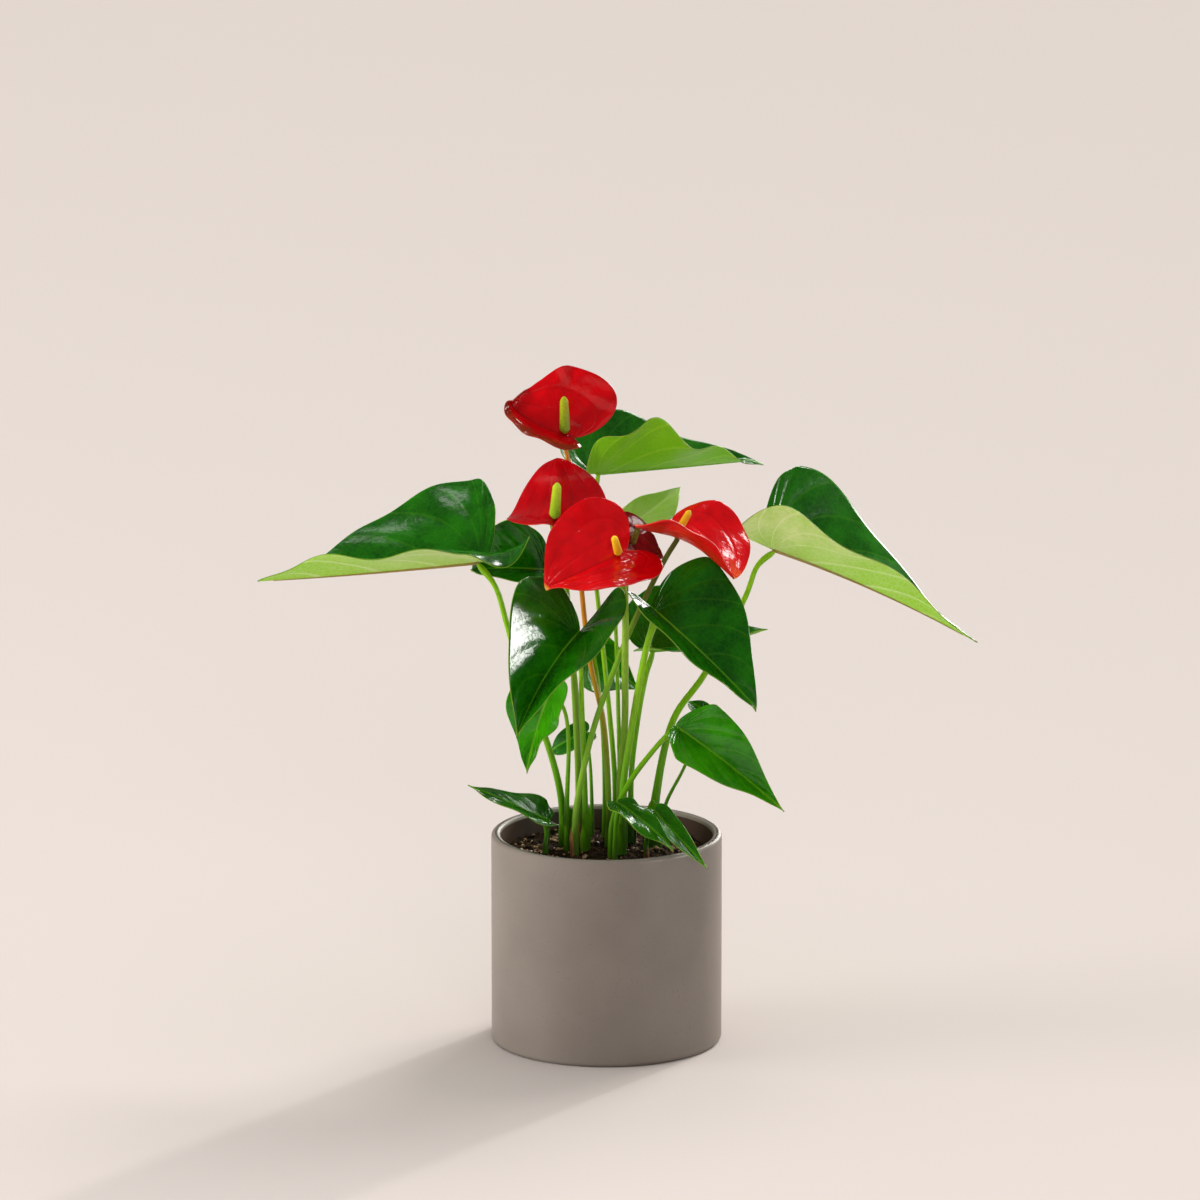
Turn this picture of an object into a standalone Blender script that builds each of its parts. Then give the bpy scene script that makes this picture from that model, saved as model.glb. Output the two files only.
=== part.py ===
"""A living anthurium in its plain cylindrical pot: five red flowers and sixteen leaves on their own
stems, which stand in the soil.

Metres, +Z up. The origin is the centre of the pot's flat underside, -Y is the front. Sizes below are
in millimetres and degrees, and are turned into metres where a mesh is made.
"""

import math

import bmesh
import bpy
import numpy as np
from mathutils import Vector, noise
from mathutils.bvhtree import BVHTree

MM = 0.001

# Pot
POT_RADIUS = 70.0
POT_HEIGHT = 129.0
POT_WALL = 5.5
POT_FLOOR = 8.0
POT_FOOT_ROUND = 3.0
POT_LIP_ROUND = 2.0
POT_SIDES = 48

# Soil
SOIL_EDGE_HEIGHT = 115.0
SOIL_MOUND = 5.0
SOIL_RELIEF = 1.6
SOIL_CLOD = 9.0
SOIL_CRUMB = 4.0
SOIL_CRUMB_SHARE = 0.6
SOIL_RINGS = 5
GAP = 0.3
SLIVER = 0.005

# Stems
STEM_FOOT = 97.0
STEM_CLEAR = 2.0
STEM_FIRST_BEND = 4.0
STEM_BENDS = 8
STEM_ROUNDING = 1
STALK_ROUNDING = 2
HOLE_GAP = 0.5
HOLE_SIDES = 8

# Blades
LEAF_THICKNESS = 0.8
SPATHE_THICKNESS = 0.9
EDGE_SHARE = 0.55
VEIN_START = 0.30
WEB_DEPTH = 3.0
WEB_SHARE = 0.12
LIFT_START = 3.5
STALK_SEAT = 2.5
STALK_TOP = 0.7
STALK_NECK = 4.0
RIB_PLACES = np.array([0.01, 0.25, 0.5, 0.75])
RIB_SHARES = np.array([0.8, 0.65, 0.5, 0.35])
RIB_DROP = 0.3
SPATHE_HUB = 10.0
SPATHE_SHOULDER = 0.8
LARGE_BLADE = 45.0
LARGE_GRID = (3, 11)
SMALL_GRID = (2, 8)

# Spadix
SPADIX_AROUND = 12
SPADIX_ALONG = 13
SPADIX_BUMP = 0.35
SPADIX_WIDE = 1.05
SPADIX_TAPER = 0.3
SPADIX_BLUNT = (2.2, 0.6)
SPADIX_LIFT = 2.5
SETTLE_STEPS = 20


class Blade:
    """The middle surface of a leaf or a spathe: a heart outline folded along a curved midrib.

    Pairs are (left, right), seen from the stalk towards the tip with the upper face up."""

    def __init__(self, junction, tip, face, width, fold, back, twist=0, curl=(0, 0), arch=0, sway=0,
                 cleft=0.7, tip_fold=1.0, lift=(0, 0), widest=0.1, taper=(1.3, 1.3), shoulder=0.95, wave=0,
                 hub=0):
        self.junction = np.array(junction, float)
        self.tip = np.array(tip, float)
        forward = self.tip - self.junction
        forward /= np.linalg.norm(forward)
        up = np.array(face, float)
        up -= forward * (up @ forward)
        self.up = up / np.linalg.norm(up)
        right = np.cross(forward, self.up)
        self.bow = (self.junction + self.tip) / 2 + 2 * (arch * self.up + sway * right)
        self.width, self.fold, self.back, self.curl, self.lift = width, fold, back, curl, lift
        self.twist, self.cleft, self.tip_fold, self.wave, self.hub = twist, cleft, tip_fold, wave, hub
        self.widest, self.taper, self.shoulder = widest, taper, shoulder
        rib = self.midrib(np.linspace(0, 1, 101))
        self.length = np.linalg.norm(np.diff(rib, axis=0), axis=1).sum()

    def midrib(self, share):
        share = np.asarray(share, float)[..., None]
        away, mix = 1 - share, 2 * share * (1 - share)
        return away**2 * self.junction + mix * self.bow + share**2 * self.tip

    def heading(self, share):
        share = np.asarray(share, float)[..., None]
        way = (1 - share) * (self.bow - self.junction) + share * (self.tip - self.bow)
        return way / np.linalg.norm(way, axis=-1, keepdims=True)

    def frame(self, share):
        """Heading, right and up of the midrib, with the twist in them."""
        heading = self.heading(share)
        up = self.up - heading * (heading @ self.up)[..., None]
        up /= np.linalg.norm(up, axis=-1, keepdims=True)
        right = np.cross(heading, up)
        turn = np.radians(self.twist) * np.asarray(share, float)[..., None]
        up = up * np.cos(turn) + right * np.sin(turn)
        return heading, np.cross(heading, up), up

    def place(self, along, across, side):
        """A flat point of one half, brought into its folded, curled and waved place."""
        share = along / self.length
        on_rib = np.clip(share, 0, 1)
        heading, right, up = self.frame(on_rib)
        centre = self.midrib(on_rib) + heading * (along - on_rib * self.length)[..., None]
        fold = self.fold[side] * (1 + (self.tip_fold - 1) * on_rib)
        if self.hub:
            fold = fold * np.clip(np.hypot(along, across) / self.hub, 0, 1)
        spread = across / self.width[side]
        angle = np.radians(fold + self.curl[side] * spread / 2)
        out, rise = across * np.cos(angle), across * np.sin(angle)
        rise = rise + self.wave * spread**2 * np.sin(2 * np.pi * (share + side / 2))
        behind = np.clip((-along - LIFT_START) / self.back[side], 0, 1.5)
        rise = rise + self.lift[side] * behind**2
        return centre + right * (out if side else -out)[..., None] + up * rise[..., None]

    def outline(self, turn, side):
        """Flat margin of one half: turn runs from 0 at the tip, round the lobe, to 1 at the junction."""
        widest, width = self.widest * self.length, self.width[side]
        edge = np.minimum(turn / EDGE_SHARE, 1)
        along = self.length - (self.length - widest) * edge
        across = width * np.sin(np.pi / 2 * edge**self.shoulder) ** self.taper[side]
        lobe = np.pi * np.clip((turn - EDGE_SHARE) / (1 - EDGE_SHARE), 0, 1)
        web = min(WEB_DEPTH, WEB_SHARE * min(self.width)) * (lobe / np.pi) ** 2
        lobe_along = widest * (1 + np.cos(lobe)) / 2 - self.back[side] * np.sin(lobe) - web
        lobe_across = width * ((1 + np.cos(lobe)) / 2) ** self.cleft
        in_lobe = turn > EDGE_SHARE
        return np.where(in_lobe, lobe_along, along), np.where(in_lobe, lobe_across, across)

    def point(self, turn, reach, side):
        """A point of one half: reach runs from 0 on the midrib to 1 on the margin, along a side vein."""
        along, across = self.outline(turn, side)
        root = np.maximum(0, (along / self.length - VEIN_START) / (1 - VEIN_START)) * self.length
        return self.place(root + (along - root) * reach, across * reach, side)

    def seat(self, forward):
        """The point on the midrib a little forward of the junction, and the way up there."""
        share = np.array(forward / self.length)
        return self.midrib(share), self.frame(share)[2]


def leaf(**shape):
    return Blade(**shape)


def spathe(**shape):
    return Blade(hub=SPATHE_HUB, shoulder=SPATHE_SHOULDER, **shape)


# Leaves: the blade, then the stem's way from the soil up to the blade and its radius at foot and top
LEAVES = {
    "leaf_right": (
        leaf(junction=(100, 23, 300), tip=(225, 26, 241), face=(0.42, 0.16, 0.89), twist=-11,
             width=(58, 33), fold=(64, 48), curl=(-7, 15), back=(10, 30), arch=3, sway=-7, cleft=0.75,
             tip_fold=0.4, lift=(0, -12), widest=0.05, taper=(1.3, 1.3), wave=6),
        ((29, 7), (30, 7, 150), (40, 8, 196), (60, 11, 226), (83, 18, 269), (91, 22, 289)), (2.6, 1.5)),
    "leaf_left": (
        leaf(junction=(-76, 6, 296), tip=(-211, 10, 283), face=(-0.10, -0.08, 0.99), twist=13,
             width=(48, 62), fold=(41, 51), curl=(-29, -25), back=(40, 12), arch=-2, sway=4, cleft=0.69,
             tip_fold=0.9, lift=(14, 7), widest=0.06, taper=(0.9, 1.9), wave=-1),
        ((-26, 12), (-28, 12, 150), (-36, 10, 182), (-49, 8, 215), (-60, 6, 256), (-67, 6, 280)),
         (2.2, 1.6)),
    "leaf_top": (
        leaf(junction=(-7, 40, 343), tip=(96, 71, 345), face=(-0.04, 0.05, 1.00), twist=7,
             width=(40, 49), fold=(36, 36), curl=(29, 30), back=(24, 16), arch=-1, sway=-5, cleft=0.72,
             tip_fold=0.5, lift=(2, 0), widest=0.2, taper=(1.5, 1.6), wave=2),
        ((5, 11), (5, 12, 160), (1, 14, 208), (-4, 22, 256), (-8, 31, 295), (-8, 38, 325)), (1.7, 1.3)),
    "leaf_front_left": (
        leaf(junction=(-18, -34, 260), tip=(-54, -73, 206), face=(-0.40, -0.58, 0.70), twist=-12,
             width=(40, 47), fold=(36, 57), curl=(-24, 4), back=(24, 16), arch=8, sway=-2, cleft=0.69,
             tip_fold=1.2, lift=(13, 0), widest=0.05, taper=(1.3, 1.3), wave=-3),
        ((-13, -8), (-13, -8, 150), (-14, -9, 180), (-15, -12, 213), (-16, -22, 240)), (1.8, 1.4)),
    "leaf_hanging": (
        leaf(junction=(-34, -14, 220), tip=(-48, -21, 171), face=(-0.57, -0.78, 0.28), twist=6,
             width=(26, 23), fold=(32, 33), curl=(-2, -1), back=(15, 12), arch=-2, sway=3, cleft=0.69,
             lift=(-5, 0), widest=0.08, taper=(1.3, 1.3), wave=-2),
        ((-24, -4), (-24, -4, 150), (-23, -4, 186), (-26, -7, 208)), (1.6, 1.1)),
    "leaf_front_right": (
        leaf(junction=(29, -30, 274), tip=(91, -55, 218), face=(0.43, -0.54, 0.72), twist=18,
             width=(46, 32), fold=(38, 40), curl=(7, -10), back=(11, 18), arch=4, sway=2, cleft=0.64,
             tip_fold=0.9, lift=(2, 2), widest=0.08, taper=(1.2, 1.4)),
        ((9, -14), (10, -15, 160), (14, -18, 191), (20, -21, 229), (25, -25, 254)), (2.2, 2.0)),
    "leaf_lower_right": (
        leaf(junction=(44, -22, 199), tip=(107, -44, 153), face=(0.19, -0.76, 0.62), twist=8,
             width=(25, 27), fold=(43, 31), curl=(-9, -3), back=(4, 6), arch=-1, sway=-2, tip_fold=1.1,
             widest=0.14, taper=(1.4, 1.4), wave=1),
        ((3, -22), (4, -22, 142), (13, -21, 164), (27, -22, 184), (38, -23, 196)), (2.0, 1.5)),
    "leaf_back_right": (
        leaf(junction=(26, 26, 236), tip=(98, 48, 244), face=(-0.02, -0.28, 0.96), twist=-2,
             width=(40, 26), fold=(37, 34), curl=(6, -10), back=(14, 15), arch=-2, sway=1, cleft=0.74,
             lift=(-3, 2), widest=0.09, taper=(1.3, 1.2), wave=1),
        ((15, 14), (15, 14, 160), (19, 16, 195), (24, 22, 221)), (1.8, 1.4)),
    "leaf_back_left": (
        leaf(junction=(-37, 30, 285), tip=(-82, 40, 282), face=(-0.20, -0.70, 0.69), twist=14,
             width=(23, 34), fold=(38, 50), curl=(-16, 20), back=(10, 2), arch=8, sway=-3, cleft=0.73,
             tip_fold=1.3, widest=0.32, taper=(1.0, 1.0), wave=1),
        ((-16, 13), (-16, 14, 158), (-18, 17, 208), (-23, 22, 245), (-31, 28, 272)), (1.8, 1.3)),
    "leaf_back_middle": (
        leaf(junction=(-10, 38, 240), tip=(20, 52, 205), face=(0.39, -0.92, -0.03), twist=10,
             width=(15, 30), fold=(48, 40), curl=(16, -5), back=(14, 8), arch=-3, tip_fold=0.9,
             widest=0.14, taper=(1.2, 1.2)),
        ((-1, 22), (-1, 22, 150), (-2, 24, 181), (-5, 30, 214), (-8, 36, 231)), (1.6, 1.2)),
    "leaf_young": (
        leaf(junction=(14, 48, 308), tip=(45, 74, 327), face=(-0.25, -0.37, 0.90), twist=22,
             width=(13, 22), fold=(35, 18), curl=(-2, -8), back=(8, 8), sway=1, widest=0.13,
             taper=(1.2, 1.2), wave=-1),
        ((8, 23), (8, 23, 160), (7, 24, 205), (6, 28, 238), (6, 38, 262), (12, 47, 294)), (1.5, 1.1)),
    "leaf_small_back": (
        leaf(junction=(-13, 39, 181), tip=(-34, 47, 167), face=(-0.59, -0.56, 0.58), twist=-7,
             width=(16, 9), fold=(25, 35), curl=(-4, 0), back=(6, 5), arch=4, sway=-2, widest=0.11,
             taper=(1.2, 1.2), wave=1),
        ((-9, 34), (-9, 34, 140), (-10, 36, 163), (-12, 38, 175)), (1.2, 0.9)),
    "leaf_small_right": (
        leaf(junction=(59, 30, 198), tip=(50, 36, 202), face=(-0.13, -0.66, 0.74), width=(8, 5),
             fold=(34, 35), curl=(-1, 0), back=(4, 4), arch=1, sway=-1, widest=0.1, taper=(1.2, 1.3)),
        ((35, 24), (36, 24, 140), (47, 27, 162), (56, 29, 184)), (1.1, 0.9)),
    "leaf_low_left": (
        leaf(junction=(-36, -2, 137), tip=(-84, -11, 161), face=(0.47, -0.43, 0.77), twist=-18,
             width=(15, 10), fold=(30, 37), curl=(8, 2), back=(6, 4), arch=2, sway=-2, tip_fold=0.9,
             widest=0.1, taper=(1.2, 1.3), wave=-2),
        ((-37, -5), (-37, -5, 122), (-36, -3, 130)), (1.5, 1.2)),
    "leaf_low_front": (
        leaf(junction=(7, -32, 155), tip=(40, -59, 133), face=(0.18, -0.46, 0.87), twist=15,
             width=(9, 14), fold=(29, 21), curl=(-4, -3), back=(3, 6), arch=1, sway=-1, widest=0.16,
             taper=(1.2, 1.2), wave=-3),
        ((5, -31), (5, -31, 130), (6, -32, 146)), (1.4, 1.1)),
    "leaf_low_rim": (
        leaf(junction=(29, -20, 147), tip=(61, -70, 124), face=(0.13, -0.64, 0.76), twist=7,
             width=(9, 12), fold=(35, 26), curl=(1, -1), back=(5, 6), arch=3, sway=2, widest=0.12,
             taper=(1.2, 1.2), wave=-2),
        ((24, -18), (24, -18, 128), (27, -19, 140)), (1.4, 1.1)),
}

# Flowers: the spathe, the stalk's way, the stalk's radius, and the spadix's direction, length, radius
FLOWERS = {
    "top": (
        spathe(junction=(-23, 8, 373), tip=(-62, 24, 392), face=(0.05, -0.72, 0.69), twist=6,
               width=(21, 43), fold=(31, 25), curl=(9, 21), back=(12, 27), arch=1, sway=-4, cleft=0.66,
               lift=(0, 1), widest=0.21, taper=(1.0, 1.1), wave=1),
        ((1, 1), (1, 1, 155), (-2, 3, 197), (-10, 8, 234), (-15, 12, 276), (-19, 13, 334)), (1.9, 1.3),
        (-0.02, -0.25, 0.95), 25, 3.2),
    "left": (
        spathe(junction=(-32, -14, 325), tip=(-31, 4, 361), face=(0.06, -0.90, 0.44), twist=-15,
               width=(34, 30), fold=(-22, 0), curl=(-14, 0), back=(5, 14), arch=-9, sway=4,
               tip_fold=1.2, widest=0.22, taper=(0.8, 0.8), wave=-1),
        ((-17, 1), (-17, 1, 160), (-19, -1, 210), (-22, -5, 260), (-27, -10, 300)), (2.1, 1.8),
        (0.07, -0.3, 0.95), 25, 3.4),
    "front": (
        spathe(junction=(9, -36, 311), tip=(-37, -60, 295), face=(0.01, -0.57, 0.82), twist=21,
               width=(33, 42), fold=(15, 19), curl=(-14, 4), back=(19, 20), arch=1, sway=-1, cleft=0.61,
               lift=(-2, 0), widest=0.19, taper=(1.1, 1.1), wave=3),
        ((8, -5), (8, -5, 160), (11, -8, 199), (11, -14, 237), (11, -24, 276)), (2.2, 2.0),
        (-0.15, -0.68, 0.72), 19, 2.6),
    "right": (
        spathe(junction=(41, -14, 319), tip=(76, -52, 299), face=(0.12, -0.38, 0.92), twist=-46,
               width=(40, 44), fold=(12, 18), curl=(2, 17), back=(16, 14), arch=1, sway=-1,
               tip_fold=1.2, widest=0.24, taper=(1.1, 1.0)),
        ((-19, -15), (-18, -15, 150), (-8, -11, 196), (7, -6, 238), (19, -6, 267), (34, -10, 299)),
         (1.9, 1.6),
        (0.42, -0.35, 0.84), 18, 2.5),
    "back": (
        spathe(junction=(13, 6, 308), tip=(34, 5, 299), face=(0.31, -0.51, 0.80), twist=-5,
               width=(20, 19), fold=(11, 17), curl=(0, 4), back=(16, 10), arch=-4, lift=(1, 0),
               widest=0.21, taper=(1.0, 1.0)),
        ((11, 5), (11, 5, 170), (12, 4, 222), (12, 4, 272), (12, 5, 295)), (1.5, 1.2),
        (0.3, -0.1, 0.95), 13, 2.0),
}


# Materials

def material(name, colour, roughness):
    made = bpy.data.materials.new(name)
    made.use_nodes = True
    shader = made.node_tree.nodes["Principled BSDF"]
    shader.inputs["Base Color"].default_value = (*colour, 1)
    shader.inputs["Roughness"].default_value = roughness
    made.diffuse_color = (*colour, 1)
    return made


# Meshes and objects

def smooth_object(name, bm, finish, sharp_angle=50):
    mesh = bpy.data.meshes.new(name)
    bm.to_mesh(mesh)
    bm.free()
    mesh.materials.append(finish)
    mesh.shade_smooth()
    mesh.set_sharp_from_angle(angle=math.radians(sharp_angle))
    made = bpy.data.objects.new(name, mesh)
    bpy.context.scene.collection.objects.link(made)
    return made


def keep_evaluated(made):
    """Applies the object's modifiers to its mesh."""
    graph = bpy.context.evaluated_depsgraph_get()
    mesh = bpy.data.meshes.new_from_object(made.evaluated_get(graph))
    made.modifiers.clear()
    made.data = mesh


def without_slivers(made):
    """Closes the hair-thin triangles that a union leaves along grazing faces."""
    bm = bmesh.new()
    bm.from_mesh(made.data)
    bmesh.ops.triangulate(bm, faces=bm.faces)
    bmesh.ops.remove_doubles(bm, verts=bm.verts, dist=SLIVER * MM)
    bmesh.ops.dissolve_degenerate(bm, dist=SLIVER * MM, edges=bm.edges)
    bmesh.ops.triangulate(bm, faces=bm.faces)
    bm.to_mesh(made.data)
    bm.free()


def join_solids(body, others):
    """One Boolean union of a solid with others that it overlaps."""
    group = bpy.data.collections.new("joined")
    bpy.context.scene.collection.children.link(group)
    for other in others:
        group.objects.link(other)
    union = body.modifiers.new("joined", "BOOLEAN")
    union.operation = "UNION"
    union.operand_type = "COLLECTION"
    union.collection = group
    union.solver = "EXACT"
    keep_evaluated(body)
    for other in others:
        bpy.data.objects.remove(other)
    bpy.data.collections.remove(group)
    without_slivers(body)


def smooth_way(points, count):
    """A smooth curve through the points, as count points evenly spread in its parameter."""
    points = np.array(points, float)
    ends = np.vstack([2 * points[0] - points[1], points, 2 * points[-1] - points[-2]])
    way = []
    for step in np.linspace(0, len(points) - 1 - 1e-9, count):
        at = int(step)
        t = step - at
        before, start, end, after = ends[at:at + 4]
        way.append(0.5 * (2 * start + (end - before) * t
                          + (2 * before - 5 * start + 4 * end - after) * t**2
                          + (3 * start - before - 3 * end + after) * t**3))
    return np.array(way)


def round_stem(name, way, radii, rounding, finish):
    """A round tapered stem: a curve with a bevel and filled caps, made a mesh."""
    curve = bpy.data.curves.new(name, "CURVE")
    curve.dimensions = "3D"
    curve.bevel_depth = MM
    curve.bevel_resolution = rounding
    curve.use_fill_caps = True
    spline = curve.splines.new("POLY")
    spline.points.add(len(way) - 1)
    for point, place, radius in zip(spline.points, way, radii):
        point.co = (*(Vector(place) * MM), 1)
        point.radius = radius
    drawn = bpy.data.objects.new(name, curve)
    bpy.context.scene.collection.objects.link(drawn)
    graph = bpy.context.evaluated_depsgraph_get()
    bm = bmesh.new()
    bm.from_mesh(bpy.data.meshes.new_from_object(drawn.evaluated_get(graph)))
    bpy.data.objects.remove(drawn)
    bmesh.ops.remove_doubles(bm, verts=bm.verts, dist=1e-6)
    bmesh.ops.recalc_face_normals(bm, faces=bm.faces)
    return smooth_object(name, bm, finish)


def stem_way(route, top):
    """The stem's points from its foot in the soil, straight up to the surface, then along its route."""
    foot_x, foot_y = route[0]
    foot = (foot_x, foot_y, STEM_FOOT)
    soil = (foot_x, foot_y, SOIL_EDGE_HEIGHT + SOIL_MOUND + STEM_CLEAR)
    above = [place for place in route[1:] if place[2] > soil[2] + STEM_FIRST_BEND]
    way = smooth_way([soil, *above, tuple(top)], STEM_BENDS)
    return np.vstack([foot, way])


def stem_radii(way, radius):
    lengths = np.linalg.norm(np.diff(way, axis=0), axis=1)
    share = np.append(0, np.cumsum(lengths)) / lengths.sum()
    return radius[0] + (radius[1] - radius[0]) * share


def blade_solid(name, blade, thickness, finish):
    """A grid bent into the blade's shape, split into triangles and given its thickness."""
    columns, rows = LARGE_GRID if blade.length > LARGE_BLADE else SMALL_GRID
    bm = bmesh.new()
    bmesh.ops.create_grid(bm, x_segments=2 * columns, y_segments=rows, size=1)
    for vert in bm.verts:
        reach, turn = vert.co.x, (vert.co.y + 1) / 2
        place = blade.point(np.array(turn), np.array(abs(reach)), int(reach > 0))
        vert.co = Vector(place) * MM
    bmesh.ops.remove_doubles(bm, verts=bm.verts, dist=1e-6)
    bmesh.ops.triangulate(bm, faces=bm.faces, quad_method="SHORT_EDGE")
    bmesh.ops.recalc_face_normals(bm, faces=bm.faces)
    made = smooth_object(name, bm, finish)
    wall = made.modifiers.new("thickness", "SOLIDIFY")
    wall.thickness = thickness * MM
    wall.offset = 0
    keep_evaluated(made)
    return made


# Pot and soil

def pot(finish):
    inner = POT_RADIUS - POT_WALL
    lip = POT_HEIGHT - POT_LIP_ROUND
    rounds = [math.radians(angle) for angle in (0, 30, 60, 90)]
    profile = [(0, 0), (POT_RADIUS - POT_FOOT_ROUND, 0)]
    profile += [(POT_RADIUS - POT_FOOT_ROUND * (1 - math.sin(a)), POT_FOOT_ROUND * (1 - math.cos(a)))
                for a in rounds[1:]]
    profile += [(POT_RADIUS - POT_LIP_ROUND * (1 - math.cos(a)), lip + POT_LIP_ROUND * math.sin(a))
                for a in rounds]
    profile += [(inner + POT_LIP_ROUND * (1 - math.sin(a)), lip + POT_LIP_ROUND * math.cos(a))
                for a in rounds[1:]]
    profile += [(inner, POT_FLOOR), (0, POT_FLOOR)]
    bm = bmesh.new()
    verts = [bm.verts.new((x * MM, 0, z * MM)) for x, z in profile]
    edges = [bm.edges.new(pair) for pair in zip(verts, verts[1:])]
    bmesh.ops.spin(bm, geom=verts + edges, cent=(0, 0, 0), axis=(0, 0, 1), angle=2 * math.pi,
                   steps=POT_SIDES, use_merge=True)
    bmesh.ops.remove_doubles(bm, verts=bm.verts, dist=1e-6)
    bmesh.ops.recalc_face_normals(bm, faces=bm.faces)
    return smooth_object("pot", bm, finish)


def soil_height(x, y, radius):
    """Mounded round the stems, with clods."""
    mound = SOIL_MOUND * math.cos(math.pi / 2 * min(1, math.hypot(x, y) / radius)) ** 2
    clods = noise.noise(Vector((x, y, 0)) / SOIL_CLOD)
    crumbs = noise.noise(Vector((x, y, POT_RADIUS)) / SOIL_CRUMB)
    return SOIL_EDGE_HEIGHT + mound + SOIL_RELIEF * (clods + SOIL_CRUMB_SHARE * crumbs)


def soil(finish, stems):
    radius = POT_RADIUS - POT_WALL - GAP
    bm = bmesh.new()
    rings = []
    for ring in range(1, SOIL_RINGS + 1):
        size = radius * ring / SOIL_RINGS
        circle = []
        for side in range(POT_SIDES):
            turn = 2 * math.pi * side / POT_SIDES
            x, y = size * math.cos(turn), size * math.sin(turn)
            circle.append(bm.verts.new(Vector((x, y, soil_height(x, y, radius))) * MM))
        rings.append(circle)
    base = [bm.verts.new((v.co.x, v.co.y, (POT_FLOOR + GAP) * MM)) for v in rings[-1]]
    rings.append(base)
    middle = bm.verts.new((0, 0, soil_height(0, 0, radius) * MM))
    for side in range(POT_SIDES):
        after = (side + 1) % POT_SIDES
        bm.faces.new((middle, rings[0][side], rings[0][after]))
        for inner, outer in zip(rings, rings[1:]):
            bm.faces.new((inner[side], outer[side], outer[after], inner[after]))
    bm.faces.new(base)
    bmesh.ops.recalc_face_normals(bm, faces=bm.faces)
    made = smooth_object("soil", bm, finish)
    drill_holes(made, stems)
    return made


def drill_holes(made, stems):
    """A plain hole for each stem's foot."""
    bm = bmesh.new()
    low, high = STEM_FOOT - GAP, POT_HEIGHT
    for (x, y), radius in stems:
        hole = bmesh.ops.create_cone(bm, cap_ends=True, segments=HOLE_SIDES, depth=(high - low) * MM,
                                     radius1=(radius + HOLE_GAP) * MM, radius2=(radius + HOLE_GAP) * MM)
        bmesh.ops.translate(bm, verts=hole["verts"], vec=Vector((x, y, (low + high) / 2)) * MM)
    cutter = smooth_object("stem_holes", bm, made.data.materials[0])
    cut = made.modifiers.new("stem_holes", "BOOLEAN")
    cut.operation = "DIFFERENCE"
    cut.object = cutter
    cut.solver = "EXACT"
    keep_evaluated(made)
    bpy.data.objects.remove(cutter)


# Leaves and flowers

def grown_leaf(name, blade, route, radius, finish):
    """The blade, its stem and the strong midrib under it, grown as one piece."""
    seat, up = blade.seat(STALK_SEAT)
    way = stem_way(route, seat + up * STALK_TOP)
    grown = [round_stem("stem", way, stem_radii(way, radius), STEM_ROUNDING, finish)]
    if blade.length > LARGE_BLADE:
        rib_way = blade.midrib(RIB_PLACES) - blade.frame(RIB_PLACES)[2] * RIB_DROP
        grown.append(round_stem("rib", rib_way, radius[1] * RIB_SHARES, STEM_ROUNDING, finish))
    made = blade_solid(name, blade, LEAF_THICKNESS, finish)
    join_solids(made, grown)
    return made


def stalk(name, blade, route, radius, finish):
    seat, up = blade.seat(STALK_SEAT)
    droop = math.radians(max(0, -min(blade.fold)))
    top = seat - up * (SPATHE_THICKNESS / 2 + 2 * GAP + radius[1] * math.tan(droop))
    way = np.vstack([stem_way(route, top - up * STALK_NECK), top])
    return round_stem(name, way, stem_radii(way, radius), STALK_ROUNDING, finish)


def settle(made, base, down):
    """Lowers a piece along a direction until it stands a gap away from the one under it."""
    bpy.context.view_layer.update()
    tree = BVHTree.FromObject(base, bpy.context.evaluated_depsgraph_get())
    for _ in range(SETTLE_STEPS):
        nearest = min(tree.find_nearest(vert.co)[3] for vert in made.data.vertices)
        step = down * (nearest - GAP * MM)
        for vert in made.data.vertices:
            vert.co += step


def spadix(name, blade, direction, length, radius, base, finish):
    """A blunt tapering finger covered in small rounded bumps, which stands on its spathe."""
    seat, up = blade.seat(STALK_SEAT)
    way = Vector(direction).normalized()
    turn = way.to_track_quat("Z", "Y")
    foot = Vector(seat) + Vector(up) * (SPATHE_THICKNESS + SPADIX_LIFT)
    bm = bmesh.new()
    bmesh.ops.create_uvsphere(bm, u_segments=SPADIX_AROUND, v_segments=SPADIX_ALONG, radius=1)
    for vert in bm.verts:
        level = math.acos(max(-1, min(1, -vert.co.z))) / math.pi
        around = math.atan2(vert.co.y, vert.co.x)
        row = round(level * SPADIX_ALONG)
        step = round(around / (2 * math.pi) * SPADIX_AROUND)
        bump = SPADIX_BUMP if (row + step) % 2 else 0
        rounding = min(1, math.sin(math.pi * level) * SPADIX_BLUNT[0]) ** SPADIX_BLUNT[1]
        width = radius * (SPADIX_WIDE - SPADIX_TAPER * level) * rounding
        if 0 < row < SPADIX_ALONG:
            width += bump
        ring = Vector((math.cos(around) * width, math.sin(around) * width, length * level))
        vert.co = (foot + turn @ ring) * MM
    bmesh.ops.recalc_face_normals(bm, faces=bm.faces)
    made = smooth_object(name, bm, finish)
    settle(made, base, -Vector(up))
    return made


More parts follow.
